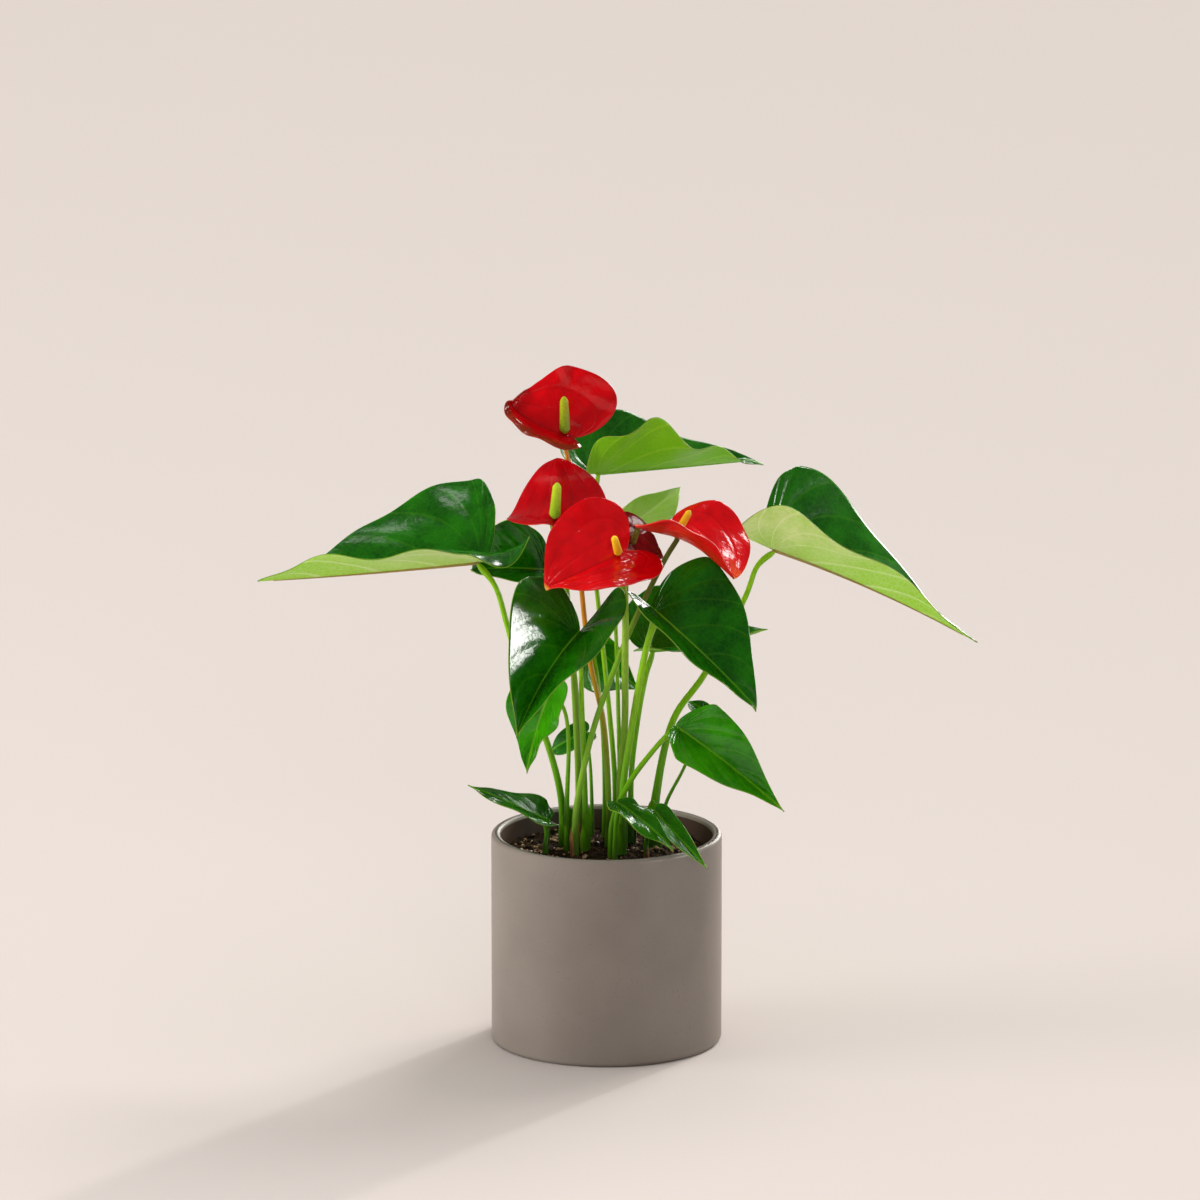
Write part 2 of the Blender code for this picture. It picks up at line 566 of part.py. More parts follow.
def main():
    for old in list(bpy.data.objects):
        bpy.data.objects.remove(old, do_unlink=True)

    ceramic = material("satin_grey_brown_ceramic", (0.20, 0.165, 0.14), 0.45)
    earth = material("dark_soil", (0.035, 0.02, 0.012), 0.95)
    green = material("glossy_green_leaf", (0.03, 0.16, 0.01), 0.3)
    pale_green = material("pale_young_leaf", (0.30, 0.50, 0.10), 0.4)
    red = material("glossy_red_spathe", (0.62, 0.003, 0.01), 0.2)
    stalk_green = material("green_flower_stalk", (0.20, 0.38, 0.03), 0.4)
    yellow = material("yellow_green_spadix", (0.55, 0.50, 0.03), 0.6)

    pot(ceramic)
    stems = []
    for name, (blade, route, radius) in LEAVES.items():
        grown_leaf(name, blade, route, radius, pale_green if name == "leaf_young" else green)
        stems.append((route[0], radius[0]))
    for name, (blade, route, radius, direction, length, thick) in FLOWERS.items():
        base = blade_solid("spathe_" + name, blade, SPATHE_THICKNESS, red)
        stalk("stalk_" + name, blade, route, radius, stalk_green)
        spadix("spadix_" + name, blade, direction, length, thick, base, yellow)
        stems.append((route[0], radius[0]))
    soil(earth, stems)


main()
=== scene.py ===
# %% [markdown]
# # A potted anthurium, dressed for its portrait
# The imported model holds the plant at its true size: pot, soil, sixteen leaves and five flowers.
# This lesson keeps those places and sizes and gives each one the surface it has in life: waxy
# red spathes with sunk veins, leaves that are dark and glossy above and pale below, a satin
# glaze, and crumbly soil. The first step opens the imported model.

# %% Open the frame
import math
import random

import bpy
import numpy as np
from mathutils import Matrix, Vector, noise


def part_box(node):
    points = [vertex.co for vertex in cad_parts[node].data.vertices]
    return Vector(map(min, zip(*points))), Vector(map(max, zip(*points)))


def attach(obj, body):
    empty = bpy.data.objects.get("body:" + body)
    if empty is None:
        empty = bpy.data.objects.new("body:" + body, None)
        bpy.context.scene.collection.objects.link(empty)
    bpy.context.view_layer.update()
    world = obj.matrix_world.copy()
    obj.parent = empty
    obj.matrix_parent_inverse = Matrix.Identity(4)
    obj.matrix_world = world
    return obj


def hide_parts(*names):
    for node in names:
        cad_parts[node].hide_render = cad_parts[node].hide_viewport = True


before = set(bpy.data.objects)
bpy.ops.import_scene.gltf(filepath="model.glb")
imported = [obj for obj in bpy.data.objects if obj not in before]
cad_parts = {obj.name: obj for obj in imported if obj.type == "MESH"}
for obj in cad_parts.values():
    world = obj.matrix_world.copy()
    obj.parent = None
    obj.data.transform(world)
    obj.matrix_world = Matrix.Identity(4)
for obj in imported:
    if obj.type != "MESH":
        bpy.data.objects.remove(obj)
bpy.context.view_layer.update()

MM = 0.001

# %% [markdown]
# The portrait is taken from far off with a long lens, a little from above. A long lens keeps the
# pot's sides parallel, and its rim and foot are seen as nearly equal ovals. Those two ovals give
# the angle: the camera looks down by a little more than thirteen degrees.

# %% Camera
CAMERA_PLACE = (-0.004, -6.162, 1.7327)
CAMERA_DOWN = 0.2325
SENSOR = 36.0
FOCUS_PIXELS = 10488
PHOTO_PIXELS = 1200
SIGHT_LIMIT = 100.0

bpy.ops.object.select_all(action="DESELECT")
bpy.ops.object.camera_add(location=CAMERA_PLACE, rotation=(math.pi / 2 - CAMERA_DOWN, 0, 0))
camera = bpy.context.object
camera.name = "portrait_camera"
camera.data.sensor_width = SENSOR
camera.data.lens = FOCUS_PIXELS / PHOTO_PIXELS * SENSOR
camera.data.clip_end = SIGHT_LIMIT
bpy.context.scene.camera = camera
print("lens:", round(camera.data.lens, 1), "mm")

# %% [markdown]
# Every surface below is a shader with noise, veins or streaks wired into it. In Blender such a
# shader is a set of nodes, joined by wires. The first helpers make a finish, add a node to it, and
# wire an output to one of the shader's own sockets, so that each finish can be read as a list.

# %% Finishes and their nodes
def new_finish(name, colour, roughness, **sockets):
    """A new material whose shader has these values on its own sockets."""
    made = bpy.data.materials.new(name)
    made.use_nodes = True
    shader = made.node_tree.nodes["Principled BSDF"]
    shader.inputs["Base Color"].default_value = (*colour, 1)
    shader.inputs["Roughness"].default_value = roughness
    for socket, value in sockets.items():
        shader.inputs[socket.replace("_", " ")].default_value = value
    made.diffuse_color = (*colour, 1)
    return made


def add_node(finish, kind, inputs=None, **settings):
    """A new node: inputs are values, or outputs of other nodes that it is wired to."""
    tree = finish.node_tree
    made = tree.nodes.new("ShaderNode" + kind)
    for key, value in settings.items():
        setattr(made, key, value)
    for socket, value in (inputs or {}).items():
        if isinstance(value, bpy.types.NodeSocket):
            tree.links.new(value, made.inputs[socket])
        else:
            made.inputs[socket].default_value = value
    return made


def join_to(finish, output, socket):
    shader = finish.node_tree.nodes["Principled BSDF"]
    finish.node_tree.links.new(output, shader.inputs[socket])


def object_place(finish):
    return add_node(finish, "TexCoord").outputs["Object"]


print("finishes start from", len(new_finish("empty", (1, 1, 1), 1).node_tree.nodes), "nodes")
bpy.data.materials.remove(bpy.data.materials["empty"])

# %% [markdown]
# The same few nodes come back in every finish: a sum, a blend of two colours, a tint laid on
# through a mask, a soft step between two values, noise, and a bump that turns the light as a
# shallow relief would. Each gets a short helper. A bump's depth is in metres, as the plant is.

# %% Sums, blends and bumps
def sums(finish, operation, *values):
    """The result of one Math node."""
    return add_node(finish, "Math", dict(enumerate(values)), operation=operation).outputs[0]


def inverse(finish, value):
    """1 less the value, so that a mask's lines and gaps change places."""
    return sums(finish, "SUBTRACT", 1.0, value)


def blend_colours(finish, factor, first, second):
    """The colour output of a Mix node."""
    inputs = {0: factor, 6: first, 7: second}
    return add_node(finish, "Mix", inputs, data_type="RGBA", clamp_factor=True).outputs[2]


def tint(finish, tone, mask, share, colour):
    """The tone, with this share of a colour laid over it where the mask is 1."""
    return blend_colours(finish, sums(finish, "MULTIPLY", mask, share), tone, (*colour, 1))


def band(finish, value, low, high):
    """0 below low, 1 above high, and smooth between."""
    inputs = {"Value": value, "From Min": low, "From Max": high}
    return add_node(finish, "MapRange", inputs, interpolation_type="SMOOTHSTEP").outputs[0]


def noise_of(finish, place, scale, detail=3.0, rough=0.5):
    inputs = {"Vector": place, "Scale": scale, "Detail": detail, "Roughness": rough}
    return add_node(finish, "TexNoise", inputs).outputs[0]


def bump_from(finish, height, depth, strength=1.0, under=None):
    """A Bump node of this depth in metres, on top of another one if given."""
    inputs = {"Height": height, "Distance": depth, "Strength": strength}
    if under:
        inputs["Normal"] = under
    return add_node(finish, "Bump", inputs).outputs[0]


print("blend and bump helpers ready")

# %% [markdown]
# A plain warm floor runs on far behind the plant, so that it is also the background. It is quite
# dull, because a shiny floor would mirror the lamps. The colours are shown as they are, with no
# film curve on them, since a film curve washes out strong reds.

# %% Floor
FLOOR_SIZE = 60.0
FLOOR_COLOUR = (0.535, 0.487, 0.462)
FLOOR_PALER = (0.545, 0.497, 0.472)

floor_finish = new_finish("warm_plain_floor", FLOOR_COLOUR, 0.9, Specular_IOR_Level=0.0)
floor_cloud = noise_of(floor_finish, object_place(floor_finish), 1.3, 2.0)
floor_tone = blend_colours(floor_finish, floor_cloud, (*FLOOR_COLOUR, 1), (*FLOOR_PALER, 1))
join_to(floor_finish, floor_tone, "Base Color")
bpy.ops.mesh.primitive_plane_add(size=FLOOR_SIZE, location=(0, 0, 0))
floor = bpy.context.object
floor.name = "floor"
floor.data.materials.append(floor_finish)
bpy.context.scene.view_settings.view_transform = "Standard"
print("floor:", FLOOR_SIZE, "m wide")

# %% [markdown]
# Two kinds of light are used. A sun gives even light from far off, and its softness is the width
# of its source in the sky. A panel is a glowing rectangle that faces the plant. Suns and plain
# panels are never seen mirrored, because waxy skin would show them as a haze. A glint is the
# opposite: a panel that is seen only mirrored, so it whitens one blade and changes nothing else.

# %% Suns and panels
PLANT_MIDDLE = Vector((0, 0, 0.24))
SUN_DISTANCE = 4.0


def add_lamp(name, kind, place, aim, strength, colour):
    toward = Vector(aim) - Vector(place)
    turned = toward.to_track_quat("-Z", "Y").to_euler()
    bpy.ops.object.light_add(type=kind, location=place, rotation=turned)
    lamp = bpy.context.object
    lamp.name = name
    lamp.data.energy = strength
    lamp.data.color = colour
    return lamp


def add_sun(name, direction, strength, softness, colour):
    """Even light from this direction. Its softness is in degrees."""
    lamp = add_lamp(name, "SUN", Vector(direction) * SUN_DISTANCE, (0, 0, 0), strength, colour)
    lamp.data.angle = math.radians(softness)
    lamp.visible_glossy = False


def add_panel(name, place, size, power, colour, glint=False):
    """A panel facing the plant: its place and size are in metres, its power in watts."""
    lamp = add_lamp(name, "AREA", place, PLANT_MIDDLE, power, colour)
    lamp.data.shape = "RECTANGLE"
    lamp.data.size, lamp.data.size_y = size
    lamp.visible_camera = False
    lamp.visible_diffuse = lamp.visible_transmission = not glint
    lamp.visible_glossy = glint


print("suns stand", SUN_DISTANCE, "m away")

# %% [markdown]
# The room is dim, because glossy leaves look deep green only where they mirror something dark. A
# very wide sun overhead lifts everything evenly. A narrower one, high behind the plant on the
# right, shines through the thin blades. A low one from the same side throws the pot's long shadow
# forward to the left. Two panels fill the left side and the front. Six glints make the white
# shines, one or two to a blade. Each is given as a turn from the right toward the back and a
# rise, both in degrees, then its size and its power.

# %% Light
ROOM_COLOUR = (1.0, 0.97, 0.94)
ROOM_LIGHT = 0.13
DAYLIGHT = (1.0, 0.98, 0.955)
LOW_DAYLIGHT = (1.0, 0.96, 0.90)
WINDOW_LIGHT = (1.0, 0.98, 0.96)
GLINT_DISTANCE = 2.5
SUNS = (
    ("wide_overhead", (0.15, 0.25, 0.95), 2.2, 120, DAYLIGHT),
    ("soft_high", (0.44, 0.56, 0.70), 1.9, 28, DAYLIGHT),
    ("low_key", (0.55, 0.81, 0.23), 2.0, 3, LOW_DAYLIGHT),
)
FILLS = (
    ("left_window", (-4.0, -0.6, 0.6), (2.4, 1.1), 155, WINDOW_LIGHT),
    ("front_fill", (0.5, -3.4, 1.6), (1.2, 1.2), 28, ROOM_COLOUR),
)
GLINTS = (
    ("right_glint", -5, 12, (0.75, 0.65), 60),
    ("edge_glint", 66, 13, (1.2, 0.8), 40),
    ("high_glint", 46, 44, (0.5, 0.5), 15),
    ("front_glint", -42, 7, (1.0, 0.6), 24),
    ("back_glint", 74, 48, (0.6, 0.45), 16),
    ("top_glint", 150, 70, (0.35, 0.35), 2.2),
)

world = bpy.data.worlds.new("soft_room")
bpy.context.scene.world = world
world.use_nodes = True
world.node_tree.nodes["Background"].inputs[0].default_value = (*ROOM_COLOUR, 1)
world.node_tree.nodes["Background"].inputs[1].default_value = ROOM_LIGHT
for facts in SUNS:
    add_sun(*facts)
for facts in FILLS:
    add_panel(*facts)
for name, turn, rise, size, power in GLINTS:
    turn, rise = math.radians(turn), math.radians(rise)
    toward = Vector((math.cos(rise) * math.cos(turn), math.cos(rise) * math.sin(turn), math.sin(rise)))
    add_panel(name, PLANT_MIDDLE + toward * GLINT_DISTANCE, size, power, WINDOW_LIGHT, glint=True)

# %% [markdown]
# Almost every piece here is a sheet or a skin that follows a curve: a blade folded on its
# midrib, a round stem, a knobbly spadix. A grid primitive is the natural start for all of them.
# Its points are moved by a formula that takes the two directions of the grid, and edit mode then
# merges the points that have met, such as those along a stem's seam, and turns the faces outward.

# %% Bent grids
MEET_DISTANCE = 0.002


def all_edited(*steps):
    """Runs edit-mode steps on everything in the active object."""
    bpy.ops.object.mode_set(mode="EDIT")
    bpy.ops.mesh.select_all(action="SELECT")
    for step in steps:
        step()
    bpy.ops.object.mode_set(mode="OBJECT")


def merge_met_points():
    bpy.ops.mesh.remove_doubles(threshold=MEET_DISTANCE * MM)


def turn_outward():
    bpy.ops.mesh.normals_make_consistent(inside=False)


def points_of(made, kind="vertices", key="co"):
    """Three numbers for each point of a mesh: its place, or another value by its key."""
    found = np.empty(len(getattr(made.data, kind)) * 3)
    getattr(made.data, kind).foreach_get(key, found)
    return found.reshape(-1, 3)


def bent_grid(name, columns, rows, shape, closed=True):
    """A grid primitive whose points are moved: shape(x, y) gives mm, and x and y run -1 to 1."""
    bpy.ops.object.select_all(action="DESELECT")
    bpy.ops.mesh.primitive_grid_add(x_subdivisions=columns, y_subdivisions=rows, size=2)
    made = bpy.context.object
    made.name = made.data.name = name
    flat = points_of(made)
    made.data.vertices.foreach_set("co", (shape(flat[:, 0], flat[:, 1]) * MM).ravel())
    made.data.update()
    if closed:
        all_edited(merge_met_points, turn_outward)
    bpy.ops.object.shade_smooth()
    return made


print("points closer than", MEET_DISTANCE, "mm are merged")

# %% [markdown]
# A piece is often made in parts, as a leaf with its stem is, and joined at the end. Every kept
# piece then rides on the plant's one body, and may stand for a node of the imported model.

# %% Joining and keeping
def apply_all(made):
    bpy.context.view_layer.objects.active = made
    for modifier in list(made.modifiers):
        bpy.ops.object.modifier_apply(modifier=modifier.name)


def join_pieces(name, pieces):
    bpy.ops.object.select_all(action="DESELECT")
    for piece in pieces:
        piece.select_set(True)
    bpy.context.view_layer.objects.active = pieces[0]
    bpy.ops.object.join()
    pieces[0].name = pieces[0].data.name = name
    return pieces[0]


def keep(piece, node):
    """Rides on the plant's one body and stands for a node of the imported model, if one is given."""
    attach(piece, "root")
    if node:
        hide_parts(node)


print("joining helpers ready")

# %% [markdown]
# The pot is thrown clay: a straight cylinder with a soft lip and a small round at the foot. By
# hand it starts as a cylinder whose top cap is inset by the wall's thickness and pushed down to
# the inner floor. Bevels on the lip and the foot, found by their height, give the soft edges.

# %% Pot
POT_RADIUS = 70.0
POT_HEIGHT = 129.0
POT_WALL = 5.5
POT_FLOOR = 8.0
POT_SIDES = 160
LIP_ROUND = 2.3
FOOT_ROUND = 3.0
SHARP_ANGLE = 35


def select_where(made, test, kind="faces"):
    """Selects the faces or edges whose every point passes the test, by their place in mm."""
    bpy.ops.object.mode_set(mode="EDIT")
    bpy.ops.mesh.select_mode(type="FACE" if kind == "faces" else "EDGE")
    bpy.ops.mesh.select_all(action="DESELECT")
    bpy.ops.object.mode_set(mode="OBJECT")
    elements = made.data.polygons if kind == "faces" else made.data.edges
    for element in elements:
        element.select = all(test(made.data.vertices[i].co / MM) for i in element.vertices)
    bpy.ops.object.mode_set(mode="EDIT")


bpy.ops.object.select_all(action="DESELECT")
bpy.ops.mesh.primitive_cylinder_add(vertices=POT_SIDES, radius=POT_RADIUS * MM, depth=POT_HEIGHT * MM,
                                    location=(0, 0, POT_HEIGHT * MM / 2))
pot = bpy.context.object
pot.name = pot.data.name = "glazed_pot"
bpy.ops.object.transform_apply(location=True, rotation=True, scale=True)
select_where(pot, lambda co: co.z > POT_HEIGHT - 1)
bpy.ops.mesh.inset(thickness=POT_WALL * MM)
way_down = (0, 0, (POT_FLOOR - POT_HEIGHT) * MM)
bpy.ops.mesh.extrude_region_move(TRANSFORM_OT_translate={"value": way_down})
bpy.ops.object.mode_set(mode="OBJECT")
select_where(pot, lambda co: co.z > POT_HEIGHT - 1, "edges")
bpy.ops.mesh.bevel(offset=LIP_ROUND * MM, segments=7, profile=0.5, affect="EDGES")
bpy.ops.object.mode_set(mode="OBJECT")
select_where(pot, lambda co: co.z < 1, "edges")
bpy.ops.mesh.bevel(offset=FOOT_ROUND * MM, segments=6, profile=0.5, affect="EDGES")
bpy.ops.object.mode_set(mode="OBJECT")
bpy.ops.object.shade_smooth_by_angle(angle=math.radians(SHARP_ANGLE))
print("pot faces:", len(pot.data.polygons), "size mm:", [round(v / MM, 1) for v in pot.dimensions])

# %% [markdown]
# The glaze is a satin grey-brown, not glossy and not flat. Its colour drifts a little from place
# to place, its roughness too, and a fine grain of small pits catches the light along the edges.
# Inside, below the lip, a second, dull finish is given to the faces that lie nearer to the axis
# than the wall does, above the inner floor. Its dark colour is painted shade.

# %% Glaze
GLAZE_DARKER = (0.195, 0.165, 0.142, 1)
GLAZE_PALER = (0.228, 0.195, 0.168, 1)
GLAZE_GRAIN = (0.15, 0.125, 0.105, 1)

glaze = new_finish("satin_grey_brown_glaze", (0.21, 0.178, 0.152), 0.42, Specular_IOR_Level=0.25)
glaze_place = object_place(glaze)
drift = noise_of(glaze, glaze_place, 14, 3.0)
grain = noise_of(glaze, glaze_place, 900, 2.0)
pits = noise_of(glaze, glaze_place, 260, 4.0, 0.6)
glaze_tone = blend_colours(glaze, band(glaze, drift, 0.3, 0.7), GLAZE_DARKER, GLAZE_PALER)
glaze_tone = blend_colours(glaze, band(glaze, grain, 0.62, 0.8), glaze_tone, GLAZE_GRAIN)
join_to(glaze, glaze_tone, "Base Color")
glaze_rough = add_node(glaze, "MapRange", {"Value": drift, "To Min": 0.36, "To Max": 0.47})
join_to(glaze, glaze_rough.outputs[0], "Roughness")
join_to(glaze, bump_from(glaze, pits, 0.00006, 0.6), "Normal")
pot.data.materials.append(glaze)
# The inside wall's dark colour is painted shade.
inner_glaze_painted_shade = new_finish("inside_glaze_painted_shade", (0.070, 0.042, 0.032), 0.7, Specular_IOR_Level=0.1)
pot.data.materials.append(inner_glaze_painted_shade)
for face in pot.data.polygons:
    middle = face.center / MM
    nearer = math.hypot(middle.x, middle.y) < POT_RADIUS - POT_WALL + 0.3
    low, high = POT_FLOOR - 0.5, POT_HEIGHT - LIP_ROUND - 0.5
    face.material_index = 1 if nearer and low < middle.z < high else 0
keep(pot, "pot")
print("glaze nodes:", len(glaze.node_tree.nodes))

# %% [markdown]
# Potting soil is never a flat disc. It is mounded round the stems, with clods, hollows and a
# crumbled surface that meets the wall unevenly. A grid wrapped into a disc, with its points raised
# by three sizes of noise, gives the ground; its last rows go down the wall and close underneath.

# %% Soil
SOIL_EDGE = 115.0
SOIL_MOUND = 5.0
SOIL_GAP = 0.3
SOIL_RADIUS = POT_RADIUS - POT_WALL - SOIL_GAP
SOIL_BOTTOM = POT_FLOOR + SOIL_GAP
SOIL_SINK = 0.4
SOIL_AROUND = 220
SOIL_ROWS = 96
SOIL_TOP_ROWS = 90
CLODS = (2.2, 9)
LUMPS = (2.0, 4.2)
CRUMBS = (0.8, 1.6)


def swell_at(x, y, layer, size):
    """Noise of this height and breadth, in mm. Each layer is its own cut through it."""
    height, breadth = size
    return height * noise.noise(Vector((x, y, layer)) / breadth)


def soil_height(x, y):
    """The ground's height at a place, in mm."""
    reach = min(1, math.hypot(x, y) / SOIL_RADIUS)
    mound = SOIL_MOUND * math.cos(math.pi / 2 * reach) ** 2
    swell = swell_at(x, y, 0, CLODS) + abs(swell_at(x, y, 30, LUMPS)) + swell_at(x, y, 60, CRUMBS)
    return SOIL_EDGE + mound + swell - SOIL_SINK


def soil_shape(x, y):
    row = np.round((y + 1) / 2 * SOIL_ROWS)
    turn = np.pi * x
    share = np.clip(row / SOIL_TOP_ROWS, 0, 1)
    shrink = np.clip((SOIL_ROWS - row) / 2, 0, 1)
    radius = SOIL_RADIUS * share * shrink
    places = np.stack([radius * np.cos(turn), radius * np.sin(turn), radius * 0], 1)
    top = np.array([soil_height(*p[:2]) for p in places])
    depth = np.clip((row - SOIL_TOP_ROWS) / (SOIL_ROWS - 2 - SOIL_TOP_ROWS), 0, 1)
    places[:, 2] = top + (SOIL_BOTTOM - top) * depth
    return places


soil = bent_grid("potting_soil", SOIL_AROUND, SOIL_ROWS, soil_shape)
print("soil faces:", len(soil.data.polygons), "top mm:", round(points_of(soil)[:, 2].max() / MM, 1))

# %% [markdown]
# Damp peat is nearly black with warmer patches, tan bark is streaked, and perlite is an off-white
# foam of glass. All three are dull. Their colours are blended by noise, and a bump of the same
# noise roughens the peat and the perlite. The crumbs below share the peat with the ground.

# %% Peat, bark and perlite
earth = new_finish("dark_peat", (0.030, 0.017, 0.010), 1.0, Specular_IOR_Level=0.1)
earth_place = object_place(earth)
patches = band(earth, noise_of(earth, earth_place, 160, 4.0, 0.6), 0.4, 0.65)
flecks = noise_of(earth, earth_place, 900, 3.0, 0.7)
earth_tone = blend_colours(earth, patches, (0.009, 0.005, 0.003, 1), (0.042, 0.022, 0.010, 1))
earth_tone = blend_colours(earth, band(earth, flecks, 0.62, 0.74), earth_tone, (0.15, 0.085, 0.038, 1))
join_to(earth, earth_tone, "Base Color")
join_to(earth, bump_from(earth, flecks, 0.0006, 0.9), "Normal")
soil.data.materials.append(earth)
keep(soil, "soil")

tan = new_finish("tan_bark", (0.28, 0.17, 0.09), 0.9)
tan_streaks = band(tan, noise_of(tan, object_place(tan), 420, 3.0), 0.4, 0.6)
tan_tone = blend_colours(tan, tan_streaks, (0.13, 0.070, 0.032, 1), (0.36, 0.235, 0.13, 1))
join_to(tan, tan_tone, "Base Color")
white = new_finish("white_perlite", (0.72, 0.70, 0.66), 0.85)
white_foam = noise_of(white, object_place(white), 700, 3.0)
white_tone = blend_colours(white, white_foam, (0.5, 0.47, 0.43, 1), (0.85, 0.83, 0.8, 1))
join_to(white, white_tone, "Base Color")
join_to(white, bump_from(white, white_foam, 0.0003), "Normal")
print("soil finishes:", earth.name, tan.name, white.name)

# %% [markdown]
# On the ground lie loose crumbs of peat, a few tan fibres and bark chips, and white grains of
# perlite. Each kind is modelled once, as a small ball dented by noise, and copied many times with
# its own turn and size. The copies are strewn with a seeded draw, so they fall the same each time.
# The bark has gathered left and right, which is the share given as its sides.

# %% Crumbs, chips and grains
STREW_SEED = 11
WALL_GAP = 2.5
GRAIN_GAP = 5
random.seed(STREW_SEED)


def dented_ball(name, faces_level, dent, seed):
    bpy.ops.object.select_all(action="DESELECT")
    bpy.ops.mesh.primitive_ico_sphere_add(subdivisions=faces_level, radius=1)
    ball = bpy.context.object
    ball.name = name
    for vert in ball.data.vertices:
        vert.co *= 1 + dent * noise.noise(vert.co * 1.3 + Vector((seed, 0, 0)))
    return ball


def strewn(name, model, count, size, flat, spread, finish, sides=0):
    """Copies of a model laid on the soil and joined. Sides draws them to the left and the right."""
    made = []
    for _ in range(count):
        turn, reach = random.uniform(0, 2 * math.pi), spread * random.random() ** (0.5 - 0.2 * sides)
        turn -= 0.5 * sides * math.sin(2 * turn)
        x, y = reach * math.cos(turn), reach * math.sin(turn)
        wide = random.uniform(*size) * random.uniform(0.75, 1.0)
        stretch = Matrix.Diagonal((wide, wide * random.uniform(0.5, 1), wide * random.uniform(*flat), 1))
        turned = Matrix.Rotation(random.uniform(0, 6.28), 4, "Z")
        turned = turned @ Matrix.Rotation(random.uniform(-0.5, 0.5), 4, "X")
        rise = Matrix.Translation((x, y, soil_height(x, y) + wide * 0.15))
        copy = model.copy()
        copy.data = model.data.copy()
        copy.data.transform(Matrix.Diagonal((MM, MM, MM, 1)) @ rise @ turned @ stretch)
        bpy.context.scene.collection.objects.link(copy)
        made.append(copy)
    bpy.data.objects.remove(model)
    joined = join_pieces(name, made)
    joined.data.materials.clear()
    joined.data.materials.append(finish)
    bpy.ops.object.shade_smooth()
    return joined


crumbs = strewn("soil_crumbs", dented_ball("crumb", 1, 0.8, 3), 520, (0.7, 2.3), (0.5, 0.9),
                SOIL_RADIUS - WALL_GAP, earth)
chips = strewn("bark_chips", dented_ball("chip", 1, 0.9, 7), 330, (0.6, 2.3), (0.3, 0.6),
               SOIL_RADIUS - WALL_GAP, tan, sides=0.75)
grains = strewn("perlite_grains", dented_ball("grain", 2, 0.7, 13), 22, (0.6, 1.3), (0.7, 1.0),
                SOIL_RADIUS - GRAIN_GAP, white)
for piece in (crumbs, chips, grains):
    keep(piece, None)
print("strewn:", len(crumbs.data.polygons), len(chips.data.polygons), len(grains.data.polygons))

# %% [markdown]
# Leaves and spathes are the same thing to a plant: a heart-shaped blade, folded along its
# midrib. One description serves both. It holds where the blade joins its stalk, where its tip
# is, which way its upper face looks, how wide each half is and how far it folds, curls and
# droops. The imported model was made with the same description, so these finer blades lie exactly
# where its plain ones do. A grid's one direction runs round the margin, from the tip to the
# notch at the stalk, and the other from the midrib out to the margin, as the side veins do.
# Ruffles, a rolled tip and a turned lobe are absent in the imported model. They start at nothing
# here too, and are given to single blades further down.

# %% Blade description
EDGE_SHARE = 0.55
VEIN_START = 0.30
WEB_DEPTH = 3.0
WEB_SHARE = 0.12
LIFT_START = 3.5
STALK_SEAT = 2.5
SPATHE_HUB = 10
SPATHE_SHOULDER = 0.8


